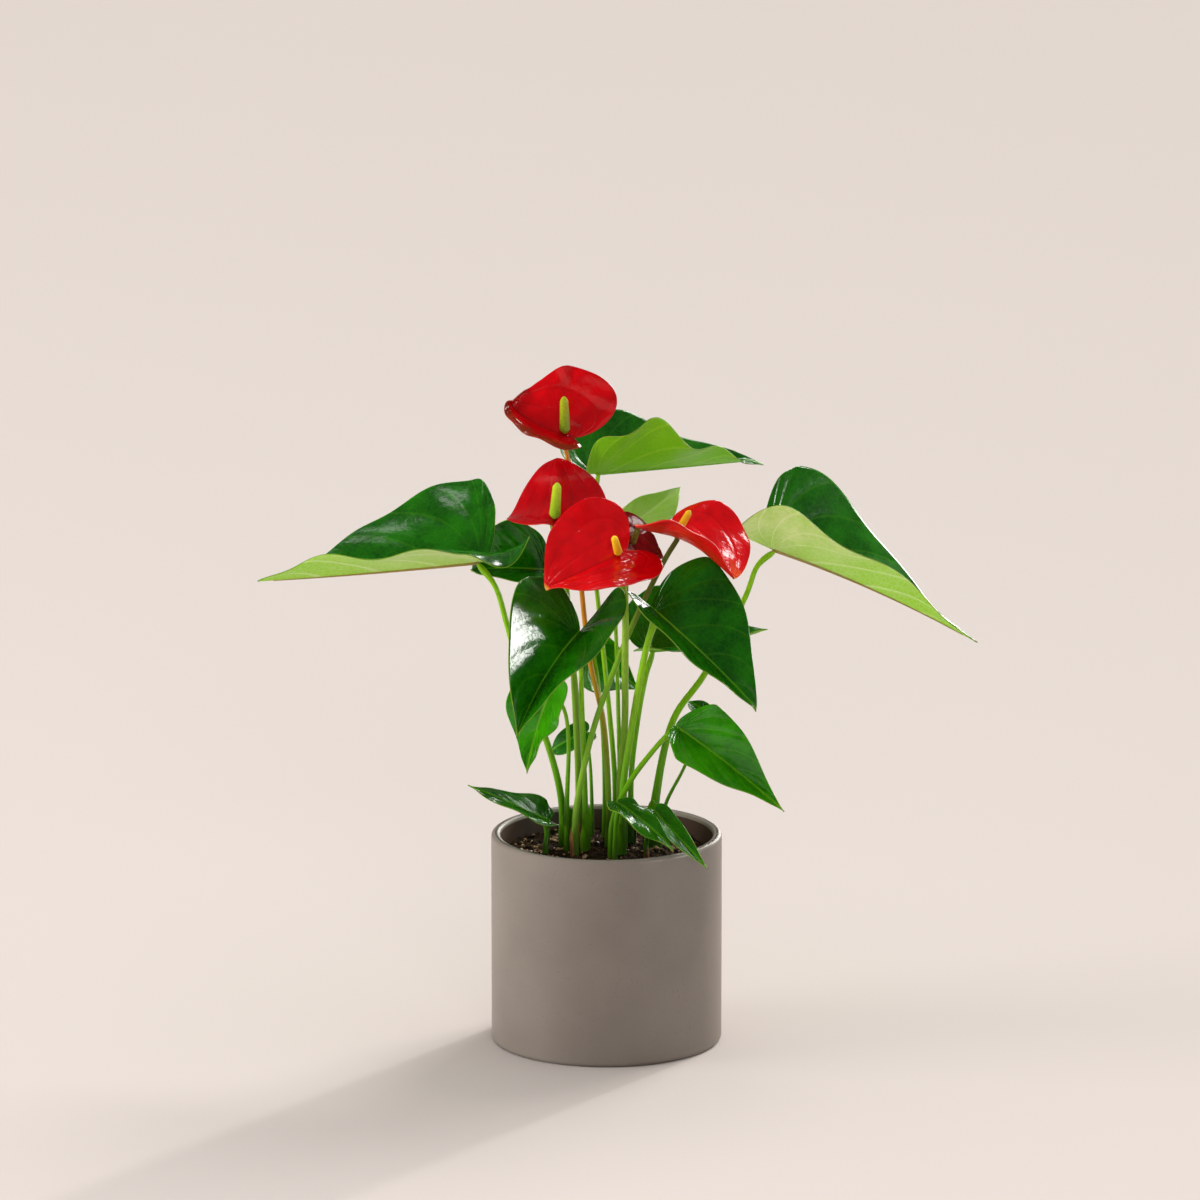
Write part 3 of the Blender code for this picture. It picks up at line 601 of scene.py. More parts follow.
class Blade:
    """A folded heart. Pairs are (left, right), seen from the stalk with the upper face up."""

    def __init__(self, junction, tip, face, width, fold, back, twist=0, curl=(0, 0), arch=0, sway=0,
                 cleft=0.7, tip_fold=1.0, lift=(0, 0), widest=0.1, taper=(1.3, 1.3), shoulder=0.95,
                 wave=0, hub=0):
        self.junction, self.tip = np.array(junction, float), np.array(tip, float)
        forward = self.tip - self.junction
        forward /= np.linalg.norm(forward)
        up = np.array(face, float)
        up -= forward * (up @ forward)
        self.up = up / np.linalg.norm(up)
        self.bow = (self.junction + self.tip) / 2 + 2 * (arch * self.up + sway * np.cross(forward, self.up))
        self.width, self.fold, self.curl = (np.array(pair, float) for pair in (width, fold, curl))
        self.back, self.lift, self.taper = (np.array(pair, float) for pair in (back, lift, taper))
        self.ruffles, self.tip_roll, self.lobe_turn = ((0, 0, 0), (0, 0, 0)), (1, 0), (0, 0)
        self.twist, self.cleft, self.tip_fold, self.wave, self.hub = twist, cleft, tip_fold, wave, hub
        self.widest, self.shoulder = widest, shoulder
        rib = self.midrib(np.linspace(0, 1, 101))
        self.length = np.linalg.norm(np.diff(rib, axis=0), axis=1).sum()

    def midrib(self, share):
        share = np.asarray(share, float)[..., None]
        away, mix = 1 - share, 2 * share * (1 - share)
        return away**2 * self.junction + mix * self.bow + share**2 * self.tip

    def frame(self, share):
        """Heading, right and up of the midrib, with the twist in them."""
        share = np.asarray(share, float)[..., None]
        heading = (1 - share) * (self.bow - self.junction) + share * (self.tip - self.bow)
        heading = heading / np.linalg.norm(heading, axis=-1, keepdims=True)
        up = self.up - heading * (heading @ self.up)[..., None]
        up /= np.linalg.norm(up, axis=-1, keepdims=True)
        right, turn = np.cross(heading, up), np.radians(self.twist) * share
        up = up * np.cos(turn) + right * np.sin(turn)
        return heading, np.cross(heading, up), up

    def outline(self, turn, side):
        """The flat margin of one half, from 0 at the tip, round the lobe, to 1 at the notch."""
        widest, width = self.widest * self.length, self.width[side]
        edge = np.minimum(turn / EDGE_SHARE, 1)
        along = self.length - (self.length - widest) * edge
        across = width * np.sin(np.pi / 2 * edge**self.shoulder) ** self.taper[side]
        lobe = np.pi * np.clip((turn - EDGE_SHARE) / (1 - EDGE_SHARE), 0, 1)
        web = min(WEB_DEPTH, WEB_SHARE * self.width.min()) * (lobe / np.pi) ** 2
        lobe_along = widest * (1 + np.cos(lobe)) / 2 - self.back[side] * np.sin(lobe) - web
        lobe_across = width * ((1 + np.cos(lobe)) / 2) ** self.cleft
        in_lobe = turn > EDGE_SHARE
        return np.where(in_lobe, lobe_along, along), np.where(in_lobe, lobe_across, across)

    def flat(self, turn, reach, side):
        """Where a point lies on the blade before it is bent: along and across, in mm."""
        along, across = self.outline(turn, side)
        root = np.maximum(0, (along / self.length - VEIN_START) / (1 - VEIN_START)) * self.length
        return root + (along - root) * reach, across * reach

    def bent(self, turn, reach, side):
        """The same point in its folded, curled and waved place."""
        along, across = self.flat(turn, reach, side)
        share = along / self.length
        on_rib = np.clip(share, 0, 1)
        heading, right, up = self.frame(on_rib)
        centre = self.midrib(on_rib) + heading * (along - on_rib * self.length)[..., None]
        fold = self.fold[side] * (1 + (self.tip_fold - 1) * on_rib)
        if self.hub:
            fold = fold * np.clip(np.hypot(along, across) / self.hub, 0, 1)
        lobe = np.clip(-along / self.back[side], 0, 1)
        fold = fold + np.array(self.lobe_turn)[side] * lobe**2 * (3 - 2 * lobe)
        spread = across / self.width[side]
        angle = np.radians(fold + self.curl[side] * spread / 2)
        out, rise = across * np.cos(angle), across * np.sin(angle)
        rise = rise + self.wave * spread**2 * np.sin(2 * np.pi * (share + side / 2))
        rise = rise + self.lift[side] * np.clip((-along - LIFT_START) / self.back[side], 0, 1.5) ** 2
        ripple = np.zeros(turn.shape)
        for half, (size, count, shift) in enumerate(self.ruffles):
            swell = size * np.sin(2 * np.pi * (count * turn + shift)) * np.clip(turn * 9, 0, 1)
            ripple = np.where(side == half, swell * reach**2.5, ripple)
        rise = rise + ripple * np.clip((1 - turn) * 6, 0, 1)
        start, roll = self.tip_roll
        past = np.clip(share - start, 0, None) * self.length
        if roll:
            bend = past * math.radians(roll) / ((1 - start) * self.length)
            curl = (1 - start) * self.length / math.radians(roll)
            centre = centre + heading * (curl * np.sin(bend) - past)[..., None]
            rise = rise + curl * (1 - np.cos(bend))
        return centre + right * np.where(side == 1, out, -out)[..., None] + up * rise[..., None]

    def seat(self, forward=STALK_SEAT):
        share = np.array(forward / self.length)
        return self.midrib(share), self.frame(share)[2]


def leaf(**shape):
    return Blade(**shape)


def spathe(**shape):
    return Blade(hub=SPATHE_HUB, shoulder=SPATHE_SHOULDER, **shape)


trial = leaf(junction=(0, 0, 0), tip=(9, 0, 0), face=(0, 0, 1), width=(4, 4), fold=(0, 0), back=(2, 2))
print("a small flat blade has", len(vars(trial)), "facts and a midrib of", round(trial.length, 1), "mm")

# %% [markdown]
# Sixteen leaves grow from the soil. Each entry gives the blade, then the way of its stem, with
# the first pair as its foot in the ground, and then the stem's radius at the foot and at the top.

# %% The leaves' places
LEAVES = {
    "leaf_right": (
        leaf(junction=(100, 23, 300), tip=(225, 26, 241), face=(0.42, 0.16, 0.89), twist=-11,
             width=(58, 33), fold=(64, 48), curl=(-7, 15), back=(10, 30), arch=3, sway=-7, cleft=0.75,
             tip_fold=0.4, lift=(0, -12), widest=0.05, taper=(1.3, 1.3), wave=6),
        ((29, 7), (30, 7, 150), (40, 8, 196), (60, 11, 226), (83, 18, 269), (91, 22, 289)), (2.6, 1.5)),
    "leaf_left": (
        leaf(junction=(-76, 6, 296), tip=(-211, 10, 283), face=(-0.10, -0.08, 0.99), twist=13,
             width=(48, 62), fold=(41, 51), curl=(-29, -25), back=(40, 12), arch=-2, sway=4, cleft=0.69,
             tip_fold=0.9, lift=(14, 7), widest=0.06, taper=(0.9, 1.9), wave=-1),
        ((-26, 12), (-28, 12, 150), (-36, 10, 182), (-49, 8, 215), (-60, 6, 256), (-67, 6, 280)),
         (2.2, 1.6)),
    "leaf_top": (
        leaf(junction=(-7, 40, 343), tip=(96, 71, 345), face=(-0.04, 0.05, 1.00), twist=7,
             width=(40, 49), fold=(36, 36), curl=(29, 30), back=(24, 16), arch=-1, sway=-5, cleft=0.72,
             tip_fold=0.5, lift=(2, 0), widest=0.2, taper=(1.5, 1.6), wave=2),
        ((5, 11), (5, 12, 160), (1, 14, 208), (-4, 22, 256), (-8, 31, 295), (-8, 38, 325)), (1.7, 1.3)),
    "leaf_front_left": (
        leaf(junction=(-18, -34, 260), tip=(-54, -73, 206), face=(-0.40, -0.58, 0.70), twist=-12,
             width=(40, 47), fold=(36, 57), curl=(-24, 4), back=(24, 16), arch=8, sway=-2, cleft=0.69,
             tip_fold=1.2, lift=(13, 0), widest=0.05, taper=(1.3, 1.3), wave=-3),
        ((-13, -8), (-13, -8, 150), (-14, -9, 180), (-15, -12, 213), (-16, -22, 240)), (1.8, 1.4)),
    "leaf_hanging": (
        leaf(junction=(-34, -14, 220), tip=(-48, -21, 171), face=(-0.57, -0.78, 0.28), twist=6,
             width=(26, 23), fold=(32, 33), curl=(-2, -1), back=(15, 12), arch=-2, sway=3, cleft=0.69,
             lift=(-5, 0), widest=0.08, taper=(1.3, 1.3), wave=-2),
        ((-24, -4), (-24, -4, 150), (-23, -4, 186), (-26, -7, 208)), (1.6, 1.1)),
    "leaf_front_right": (
        leaf(junction=(29, -30, 274), tip=(91, -55, 218), face=(0.43, -0.54, 0.72), twist=18,
             width=(46, 32), fold=(38, 40), curl=(7, -10), back=(11, 18), arch=4, sway=2, cleft=0.64,
             tip_fold=0.9, lift=(2, 2), widest=0.08, taper=(1.2, 1.4)),
        ((9, -14), (10, -15, 160), (14, -18, 191), (20, -21, 229), (25, -25, 254)), (2.2, 2.0)),
    "leaf_lower_right": (
        leaf(junction=(44, -22, 199), tip=(107, -44, 153), face=(0.19, -0.76, 0.62), twist=8,
             width=(25, 27), fold=(43, 31), curl=(-9, -3), back=(4, 6), arch=-1, sway=-2, tip_fold=1.1,
             widest=0.14, taper=(1.4, 1.4), wave=1),
        ((3, -22), (4, -22, 142), (13, -21, 164), (27, -22, 184), (38, -23, 196)), (2.0, 1.5)),
    "leaf_back_right": (
        leaf(junction=(26, 26, 236), tip=(98, 48, 244), face=(-0.02, -0.28, 0.96), twist=-2,
             width=(40, 26), fold=(37, 34), curl=(6, -10), back=(14, 15), arch=-2, sway=1, cleft=0.74,
             lift=(-3, 2), widest=0.09, taper=(1.3, 1.2), wave=1),
        ((15, 14), (15, 14, 160), (19, 16, 195), (24, 22, 221)), (1.8, 1.4)),
    "leaf_back_left": (
        leaf(junction=(-37, 30, 285), tip=(-82, 40, 282), face=(-0.20, -0.70, 0.69), twist=14,
             width=(23, 34), fold=(38, 50), curl=(-16, 20), back=(10, 2), arch=8, sway=-3, cleft=0.73,
             tip_fold=1.3, widest=0.32, taper=(1.0, 1.0), wave=1),
        ((-16, 13), (-16, 14, 158), (-18, 17, 208), (-23, 22, 245), (-31, 28, 272)), (1.8, 1.3)),
    "leaf_back_middle": (
        leaf(junction=(-10, 38, 240), tip=(20, 52, 205), face=(0.39, -0.92, -0.03), twist=10,
             width=(15, 30), fold=(48, 40), curl=(16, -5), back=(14, 8), arch=-3, tip_fold=0.9,
             widest=0.14, taper=(1.2, 1.2)),
        ((-1, 22), (-1, 22, 150), (-2, 24, 181), (-5, 30, 214), (-8, 36, 231)), (1.6, 1.2)),
    "leaf_young": (
        leaf(junction=(14, 48, 308), tip=(45, 74, 327), face=(-0.25, -0.37, 0.90), twist=22,
             width=(13, 22), fold=(35, 18), curl=(-2, -8), back=(8, 8), sway=1, widest=0.13,
             taper=(1.2, 1.2), wave=-1),
        ((8, 23), (8, 23, 160), (7, 24, 205), (6, 28, 238), (6, 38, 262), (12, 47, 294)), (1.5, 1.1)),
    "leaf_small_back": (
        leaf(junction=(-13, 39, 181), tip=(-34, 47, 167), face=(-0.59, -0.56, 0.58), twist=-7,
             width=(16, 9), fold=(25, 35), curl=(-4, 0), back=(6, 5), arch=4, sway=-2, widest=0.11,
             taper=(1.2, 1.2), wave=1),
        ((-9, 34), (-9, 34, 140), (-10, 36, 163), (-12, 38, 175)), (1.2, 0.9)),
    "leaf_small_right": (
        leaf(junction=(59, 30, 198), tip=(50, 36, 202), face=(-0.13, -0.66, 0.74), width=(8, 5),
             fold=(34, 35), curl=(-1, 0), back=(4, 4), arch=1, sway=-1, widest=0.1, taper=(1.2, 1.3)),
        ((35, 24), (36, 24, 140), (47, 27, 162), (56, 29, 184)), (1.1, 0.9)),
    "leaf_low_left": (
        leaf(junction=(-36, -2, 137), tip=(-84, -11, 161), face=(0.47, -0.43, 0.77), twist=-18,
             width=(15, 10), fold=(30, 37), curl=(8, 2), back=(6, 4), arch=2, sway=-2, tip_fold=0.9,
             widest=0.1, taper=(1.2, 1.3), wave=-2),
        ((-37, -5), (-37, -5, 122), (-36, -3, 130)), (1.5, 1.2)),
    "leaf_low_front": (
        leaf(junction=(7, -32, 155), tip=(40, -59, 133), face=(0.18, -0.46, 0.87), twist=15,
             width=(9, 14), fold=(29, 21), curl=(-4, -3), back=(3, 6), arch=1, sway=-1, widest=0.16,
             taper=(1.2, 1.2), wave=-3),
        ((5, -31), (5, -31, 130), (6, -32, 146)), (1.4, 1.1)),
    "leaf_low_rim": (
        leaf(junction=(29, -20, 147), tip=(61, -70, 124), face=(0.13, -0.64, 0.76), twist=7,
             width=(9, 12), fold=(35, 26), curl=(1, -1), back=(5, 6), arch=3, sway=2, widest=0.12,
             taper=(1.2, 1.2), wave=-2),
        ((24, -18), (24, -18, 128), (27, -19, 140)), (1.4, 1.1)),
}
print("leaves:", len(LEAVES))

# %% [markdown]
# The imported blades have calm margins. Real ones ruffle where they grew faster at the edge than in
# the middle. Each ruffle is a height in mm, a count and a shift, for the left half and for the
# right, and it fades to nothing at the midrib. Some tips roll: a roll is the share of the length
# where it starts, and its degrees, negative where the tip turns down. The left leaf's left lobe
# is turned down on its fold and lifted at its end, both only behind the stalk.

# %% Ruffles, rolls and the turned lobe
LEAF_RUFFLES = {
    "leaf_left": ((3.0, 3.5, 0.64), (1.4, 5.0, 0.0)),
    "leaf_top": ((2.2, 2.6, 0.9), (5.2, 3.2, 0.65)),
    "leaf_right": ((1.6, 4.0, 0.3), (1.2, 3.0, 0.5)),
    "leaf_front_left": ((1.2, 4.0, 0.2), (1.4, 3.4, 0.6)),
    "leaf_front_right": ((1.0, 3.6, 0.1), (1.4, 4.0, 0.5)),
    "leaf_hanging": ((1.6, 3.4, 0.4), (1.6, 3.0, 0.1)),
    "leaf_lower_right": ((1.0, 3.2, 0.2), (1.4, 3.6, 0.7)),
    "leaf_low_left": ((1.6, 2.6, 0.3), (1.0, 3.0, 0.8)),
    "leaf_low_front": ((0.8, 3.0, 0.3), (1.2, 2.6, 0.1)),
    "leaf_back_right": ((1.6, 3.6, 0.5), (1.4, 3.0, 0.2)),
    "leaf_back_left": ((1.2, 3.0, 0.1), (1.4, 3.4, 0.6)),
    "leaf_back_middle": ((1.0, 3.2, 0.6), (1.4, 2.8, 0.3)),
    "leaf_young": ((0.8, 2.6, 0.2), (1.2, 3.0, 0.7)),
}
LEAF_ROLLS = {"leaf_top": (0.88, -35), "leaf_front_right": (0.93, -50)}


def enliven(plants, ruffles, rolls):
    """Gives the blades of these leaves or flowers their ruffled margins and rolled tips."""
    for name, pair in ruffles.items():
        plants[name][0].ruffles = pair
    for name, roll in rolls.items():
        plants[name][0].tip_roll = roll


enliven(LEAVES, LEAF_RUFFLES, LEAF_ROLLS)
LEAVES["leaf_left"][0].lobe_turn = (-48, 0)
LEAVES["leaf_left"][0].lift = np.array((36.0, 6.9))
print("ruffled:", len(LEAF_RUFFLES), "rolled:", len(LEAF_ROLLS))

# %% [markdown]
# Five flowers stand above them. What looks like a petal is the spathe, a coloured leaf, and the
# true flowers are the hundreds of tiny bumps on the spadix. Each entry gives the spathe, the
# stalk's way and radii, and the spadix's direction, length and radius. Their margins ruffle and
# their tips roll like those of the leaves, and the left one narrows sooner towards its tip.

# %% The flowers' places
FLOWERS = {
    "top": (
        spathe(junction=(-23, 8, 373), tip=(-62, 24, 392), face=(0.05, -0.72, 0.69), twist=6,
               width=(21, 43), fold=(31, 25), curl=(9, 21), back=(12, 27), arch=1, sway=-4, cleft=0.66,
               lift=(0, 1), widest=0.21, taper=(1.0, 1.1), wave=1),
        ((1, 1), (1, 1, 155), (-2, 3, 197), (-10, 8, 234), (-15, 12, 276), (-19, 13, 334)), (1.9, 1.3),
        (-0.02, -0.25, 0.95), 25, 3.2),
    "left": (
        spathe(junction=(-32, -14, 325), tip=(-31, 4, 361), face=(0.06, -0.90, 0.44), twist=-15,
               width=(34, 30), fold=(-22, 0), curl=(-14, 0), back=(5, 14), arch=-9, sway=4,
               tip_fold=1.2, widest=0.22, taper=(0.8, 0.8), wave=-1),
        ((-17, 1), (-17, 1, 160), (-19, -1, 210), (-22, -5, 260), (-27, -10, 300)), (2.1, 1.8),
        (0.07, -0.3, 0.95), 25, 3.4),
    "front": (
        spathe(junction=(9, -36, 311), tip=(-37, -60, 295), face=(0.01, -0.57, 0.82), twist=21,
               width=(33, 42), fold=(15, 19), curl=(-14, 4), back=(19, 20), arch=1, sway=-1, cleft=0.61,
               lift=(-2, 0), widest=0.19, taper=(1.1, 1.1), wave=3),
        ((8, -5), (8, -5, 160), (11, -8, 199), (11, -14, 237), (11, -24, 276)), (2.2, 2.0),
        (-0.15, -0.68, 0.72), 19, 2.6),
    "right": (
        spathe(junction=(41, -14, 319), tip=(76, -52, 299), face=(0.12, -0.38, 0.92), twist=-46,
               width=(40, 44), fold=(12, 18), curl=(2, 17), back=(16, 14), arch=1, sway=-1,
               tip_fold=1.2, widest=0.24, taper=(1.1, 1.0)),
        ((-19, -15), (-18, -15, 150), (-8, -11, 196), (7, -6, 238), (19, -6, 267), (34, -10, 299)),
         (1.9, 1.6),
        (0.42, -0.35, 0.84), 18, 2.5),
    "back": (
        spathe(junction=(13, 6, 308), tip=(34, 5, 299), face=(0.31, -0.51, 0.80), twist=-5,
               width=(20, 19), fold=(11, 17), curl=(0, 4), back=(16, 10), arch=-4, lift=(1, 0),
               widest=0.21, taper=(1.0, 1.0)),
        ((11, 5), (11, 5, 170), (12, 4, 222), (12, 4, 272), (12, 5, 295)), (1.5, 1.2),
        (0.3, -0.1, 0.95), 13, 2.0),
}
SPATHE_RUFFLES = {
    "top": ((1.4, 4.0, 0.2), (2.2, 2.0, 0.69)),
    "left": ((1.2, 3.0, 0.4), (1.4, 2.6, 0.1)),
    "front": ((0.9, 3.4, 0.1), (1.0, 3.0, 0.6)),
    "right": ((1.0, 3.0, 0.3), (1.2, 3.4, 0.8)),
    "back": ((1.0, 3.0, 0.5), (0.8, 3.0, 0.2)),
}
SPATHE_ROLLS = {"top": (0.78, 150), "left": (0.72, -100), "front": (0.93, -60)}
enliven(FLOWERS, SPATHE_RUFFLES, SPATHE_ROLLS)
FLOWERS["left"][0].taper = np.array((1.05, 1.0))
print("flowers:", list(FLOWERS))

# %% [markdown]
# A blade's skin is one grid: half of its columns lie left of the midrib and half right. Two
# extra maps go with it: one says how far round the margin and how far out each point is, for
# the veins, and the other gives its flat place in mm, for spots and grain that must not stretch.
# Relief is real: the skin is pushed along its own normals, before it gets its thickness.

# %% Blade skins
FLAT_MAP_SIZE = 200.0


def blade_skin(name, blade, columns, rows, relief):
    """The middle surface of a blade, with its maps, raised by relief(turn, reach, side) in mm."""
    kept = {}

    def shape(x, y):
        kept["turn"], kept["reach"], kept["side"] = (1 - y) / 2, np.abs(x), (x > 0).astype(int)
        return blade.bent(kept["turn"], kept["reach"], kept["side"])

    made = bent_grid(name, 2 * columns, rows, shape, closed=False)
    normals = points_of(made, "vertex_normals", "vector")
    lift = relief(kept["turn"], kept["reach"], kept["side"]) * MM
    made.data.vertices.foreach_set("co", (points_of(made) + normals * lift[:, None]).ravel())
    along, across = blade.flat(kept["turn"], kept["reach"], kept["side"])
    across = np.where(kept["side"] == 1, across, -across)
    flat = np.stack([across, along], 1) / FLAT_MAP_SIZE + 0.5
    ends = np.empty(len(made.data.loops), int)
    made.data.loops.foreach_get("vertex_index", ends)
    made.data.uv_layers[0].name = "veins"
    made.data.uv_layers.new(name="flat").data.foreach_set("uv", flat[ends].ravel())
    bpy.context.view_layer.objects.active = made
    all_edited(merge_met_points)
    return made


def thicken(made, thickness):
    """Gives the skin a thickness. Its far side takes the next material, its rim the one after."""
    wall = made.modifiers.new("thickness", "SOLIDIFY")
    wall.thickness = thickness * MM
    wall.offset = 0
    wall.material_offset = 1
    wall.material_offset_rim = 2
    apply_all(made)


print("the flat map is", FLAT_MAP_SIZE, "mm wide")

# %% [markdown]
# Round stems are grids too, wrapped round a smooth way. The frame of each ring is carried along
# from the one before, so that the stem never twists, and both ends close to a point.

# %% Round stems
STEM_FOOT = 99.0
STEM_START = 122.0
FIRST_BEND = 4.0


def smooth_way(points, count):
    """A smooth curve through the points, as count points."""
    points = np.array(points, float)
    ends = np.vstack([2 * points[0] - points[1], points, 2 * points[-1] - points[-2]])
    way = []
    for step in np.linspace(0, len(points) - 1 - 1e-9, count):
        at, t = int(step), step % 1
        before, start, end, after = ends[at:at + 4]
        way.append(0.5 * (2 * start + (end - before) * t
                          + (2 * before - 5 * start + 4 * end - after) * t**2
                          + (3 * start - before - 3 * end + after) * t**3))
    return np.array(way)


def ring_frames(way):
    """Two directions across the way at each of its points, carried along without a twist."""
    heading = np.gradient(way, axis=0)
    heading /= np.linalg.norm(heading, axis=1)[:, None]
    side = np.cross(heading[0], (0.3, 1, 0.1))
    frames = []
    for forward in heading:
        side = side - forward * (side @ forward)
        side /= np.linalg.norm(side)
        frames.append((side, np.cross(forward, side)))
    return np.array(frames)


def round_skin(name, way, radii, around):
    """A closed round skin along a way, with its ends drawn to a point."""
    way = np.vstack([way[:1], way, way[-1:]])
    radii = np.concatenate([[0], radii, [0]])
    frames = ring_frames(way[1:-1])
    frames = np.concatenate([frames[:1], frames, frames[-1:]])

    def shape(x, y):
        ring = np.round((y + 1) / 2 * (len(way) - 1)).astype(int)
        out = np.cos(np.pi * x)[:, None] * frames[ring, 0] + np.sin(np.pi * x)[:, None] * frames[ring, 1]
        return way[ring] + out * radii[ring, None]

    return bent_grid(name, around, len(way) - 1, shape)


def stem_way(route, top, count):
    """From the foot, straight up to the ground, then along the route to the top."""
    x, y = route[0]
    above = [place for place in route[1:] if place[2] > STEM_START + FIRST_BEND]
    way = smooth_way([(x, y, STEM_START), *above, tuple(top)], count)
    return np.vstack([(x, y, STEM_FOOT), (x, y, (STEM_FOOT + STEM_START) / 2), way])


def shares_of(way):
    """How far along the way each point is, from 0 to 1, and the way's length."""
    lengths = np.linalg.norm(np.diff(way, axis=0), axis=1)
    return np.append(0, np.cumsum(lengths)) / lengths.sum(), lengths.sum()


print("stem helpers ready")

# %% [markdown]
# The veins are drawn from the two maps of a blade. In one of them, a coordinate runs round the
# margin from the tip to the notch and the other out from the midrib, so a side vein is a line of
# nearly constant first coordinate that bends towards the tip. The other map is the flat blade,
# and gives the midrib and a fine net. Each helper draws its lines as 1, with 0 between them.

# %% Veins from the maps
LEAF_VEINS = 9.0
VEIN_SWEEP = 0.10
NET_WIDTH = 0.16
RIB_CORE = 0.35


def vein_maps(finish):
    """How far round the margin, how far out, and the flat place, from the blade's two maps."""
    veins = add_node(finish, "UVMap", uv_map="veins").outputs[0]
    split = add_node(finish, "SeparateXYZ", {0: veins})
    signed = sums(finish, "MULTIPLY_ADD", split.outputs[0], 2.0, -1.0)
    reach = sums(finish, "ABSOLUTE", signed)
    turn = inverse(finish, split.outputs[1])
    return turn, reach, add_node(finish, "UVMap", uv_map="flat").outputs[0]


def lines_at(finish, value, width):
    """1 where the value is a whole number, and 0 this far from it."""
    phase = sums(finish, "FRACT", value)
    off = sums(finish, "ABSOLUTE", sums(finish, "SUBTRACT", phase, 0.5))
    return band(finish, off, 0.5 - width, 0.5)


def side_veins(finish, turn, reach, count, sweep, width):
    """1 on the side veins, which sweep towards the tip as they reach out."""
    swept = sums(finish, "MULTIPLY_ADD", sums(finish, "POWER", reach, 2.0), sweep, turn)
    return lines_at(finish, sums(finish, "MULTIPLY", swept, count), width)


def net_of(finish, flat, scale):
    """1 on a fine net of small veins."""
    cells = add_node(finish, "TexVoronoi", {"Vector": flat, "Scale": scale}, feature="DISTANCE_TO_EDGE")
    return inverse(finish, band(finish, cells.outputs["Distance"], 0.0, NET_WIDTH))


def midrib_line(finish, flat, width):
    """1 on the midrib, from its distance in the flat map."""
    across = add_node(finish, "SeparateXYZ", {0: flat}).outputs[0]
    off = sums(finish, "ABSOLUTE", sums(finish, "SUBTRACT", across, 0.5))
    share = width / FLAT_MAP_SIZE
    return inverse(finish, band(finish, off, RIB_CORE * share, share))


print("side veins in a leaf's half:", int(LEAF_VEINS))

# %% [markdown]
# Above, a leaf is a deep glossy green with a fine pale midrib, fainter side veins and a slightly
# quilted skin. Below, it is a softer green, deeper towards the tip, with a dry grain, and the
# light comes through it. Both are blends of a few greens by noise, with the veins laid over them
# as tints. The relief has three sizes: the fine net, the side veins, and slow waxy dents.

# %% Leaf faces
LEAF_NET = 62


def leaf_top(name, dark, light, vein, roughness, quilt=1.0):
    finish = new_finish(name, dark, roughness, Specular_IOR_Level=0.35, Subsurface_Weight=0.3,
                        Subsurface_Scale=0.002, Subsurface_Radius=(0.6, 1.0, 0.2))
    turn, reach, flat = vein_maps(finish)
    veins = side_veins(finish, turn, reach, LEAF_VEINS, VEIN_SWEEP, 0.07)
    soft_veins = side_veins(finish, turn, reach, LEAF_VEINS, VEIN_SWEEP, 0.3)
    net = net_of(finish, flat, LEAF_NET)
    cloud = noise_of(finish, flat, 9, 4.0, 0.6)
    mottle = noise_of(finish, flat, 60, 4.0, 0.6)
    tone = blend_colours(finish, band(finish, cloud, 0.35, 0.68), (*dark, 1), (*light, 1))
    tone = tint(finish, tone, band(finish, mottle, 0.45, 0.8), 0.35, light)
    tone = tint(finish, tone, net, 0.08, vein)
    tone = tint(finish, tone, veins, 0.15, vein)
    tone = tint(finish, tone, midrib_line(finish, flat, 1.5), 0.75, vein)
    # Pale band along the margin: partly the leaf's pale edge, partly a painted edge highlight.
    tone = tint(finish, tone, band(finish, reach, 0.985, 1.0), 0.3, vein)
    join_to(finish, tone, "Base Color")
    ends = {"Value": mottle, "To Min": roughness - 0.05, "To Max": roughness + 0.1}
    join_to(finish, add_node(finish, "MapRange", ends).outputs[0], "Roughness")
    fine = bump_from(finish, net, 0.00004, 0.4)
    grooves = bump_from(finish, inverse(finish, soft_veins), 0.00022, 0.55 * quilt, fine)
    waxy = bump_from(finish, noise_of(finish, flat, 26, 2.0), 0.0006, 0.35 * quilt, grooves)
    join_to(finish, waxy, "Normal")
    return finish


def leaf_under(name, pale, green, vein, tip):
    finish = new_finish(name, pale, 0.45, Specular_IOR_Level=0.25, Subsurface_Weight=0.3,
                        Subsurface_Scale=0.002, Subsurface_Radius=(0.7, 1.0, 0.25))
    turn, reach, flat = vein_maps(finish)
    veins = side_veins(finish, turn, reach, LEAF_VEINS, VEIN_SWEEP, 0.10)
    net = net_of(finish, flat, LEAF_NET)
    cloud = noise_of(finish, flat, 7, 3.0)
    tone = blend_colours(finish, band(finish, cloud, 0.3, 0.7), (*pale, 1), (*green, 1))
    tone = blend_colours(finish, band(finish, turn, 0.52, 0.12), tone, (*tip, 1))
    grained = add_node(finish, "Mapping", {0: flat, 3: (1, 0.22, 1)}).outputs[0]
    grain = band(finish, noise_of(finish, grained, 150, 3.0), 0.42, 0.7)
    tone = tint(finish, tone, grain, 0.45, green)
    tone = tint(finish, tone, net, 0.16, vein)
    tone = tint(finish, tone, veins, 0.45, vein)
    join_to(finish, tone, "Base Color")
    raised = bump_from(finish, net, 0.00008, 0.4)
    join_to(finish, bump_from(finish, veins, 0.0003, 0.6, raised), "Normal")
    return finish


print("the finest net has", LEAF_NET, "cells to a map's width")

# %% [markdown]
# A stem changes colour on its way up, from green at the foot to paler green, orange or brown at
# the top, and on the leaves' green stems the darker green low down is partly painted shade. So its
# finish blends two colours by height, and adds faint streaks along the stem, a few brown spots,
# and painted shade on the foot, where it stands among the others above the soil.

# %% Stem finish
STEM_SPOTS = (0.17, 0.12, 0.035)
SHADED_FOOT = (0.022, 0.066, 0.003)
SHADE_HEIGHTS = (0.160, 0.118)
STREAK_DARKNESS = 0.62


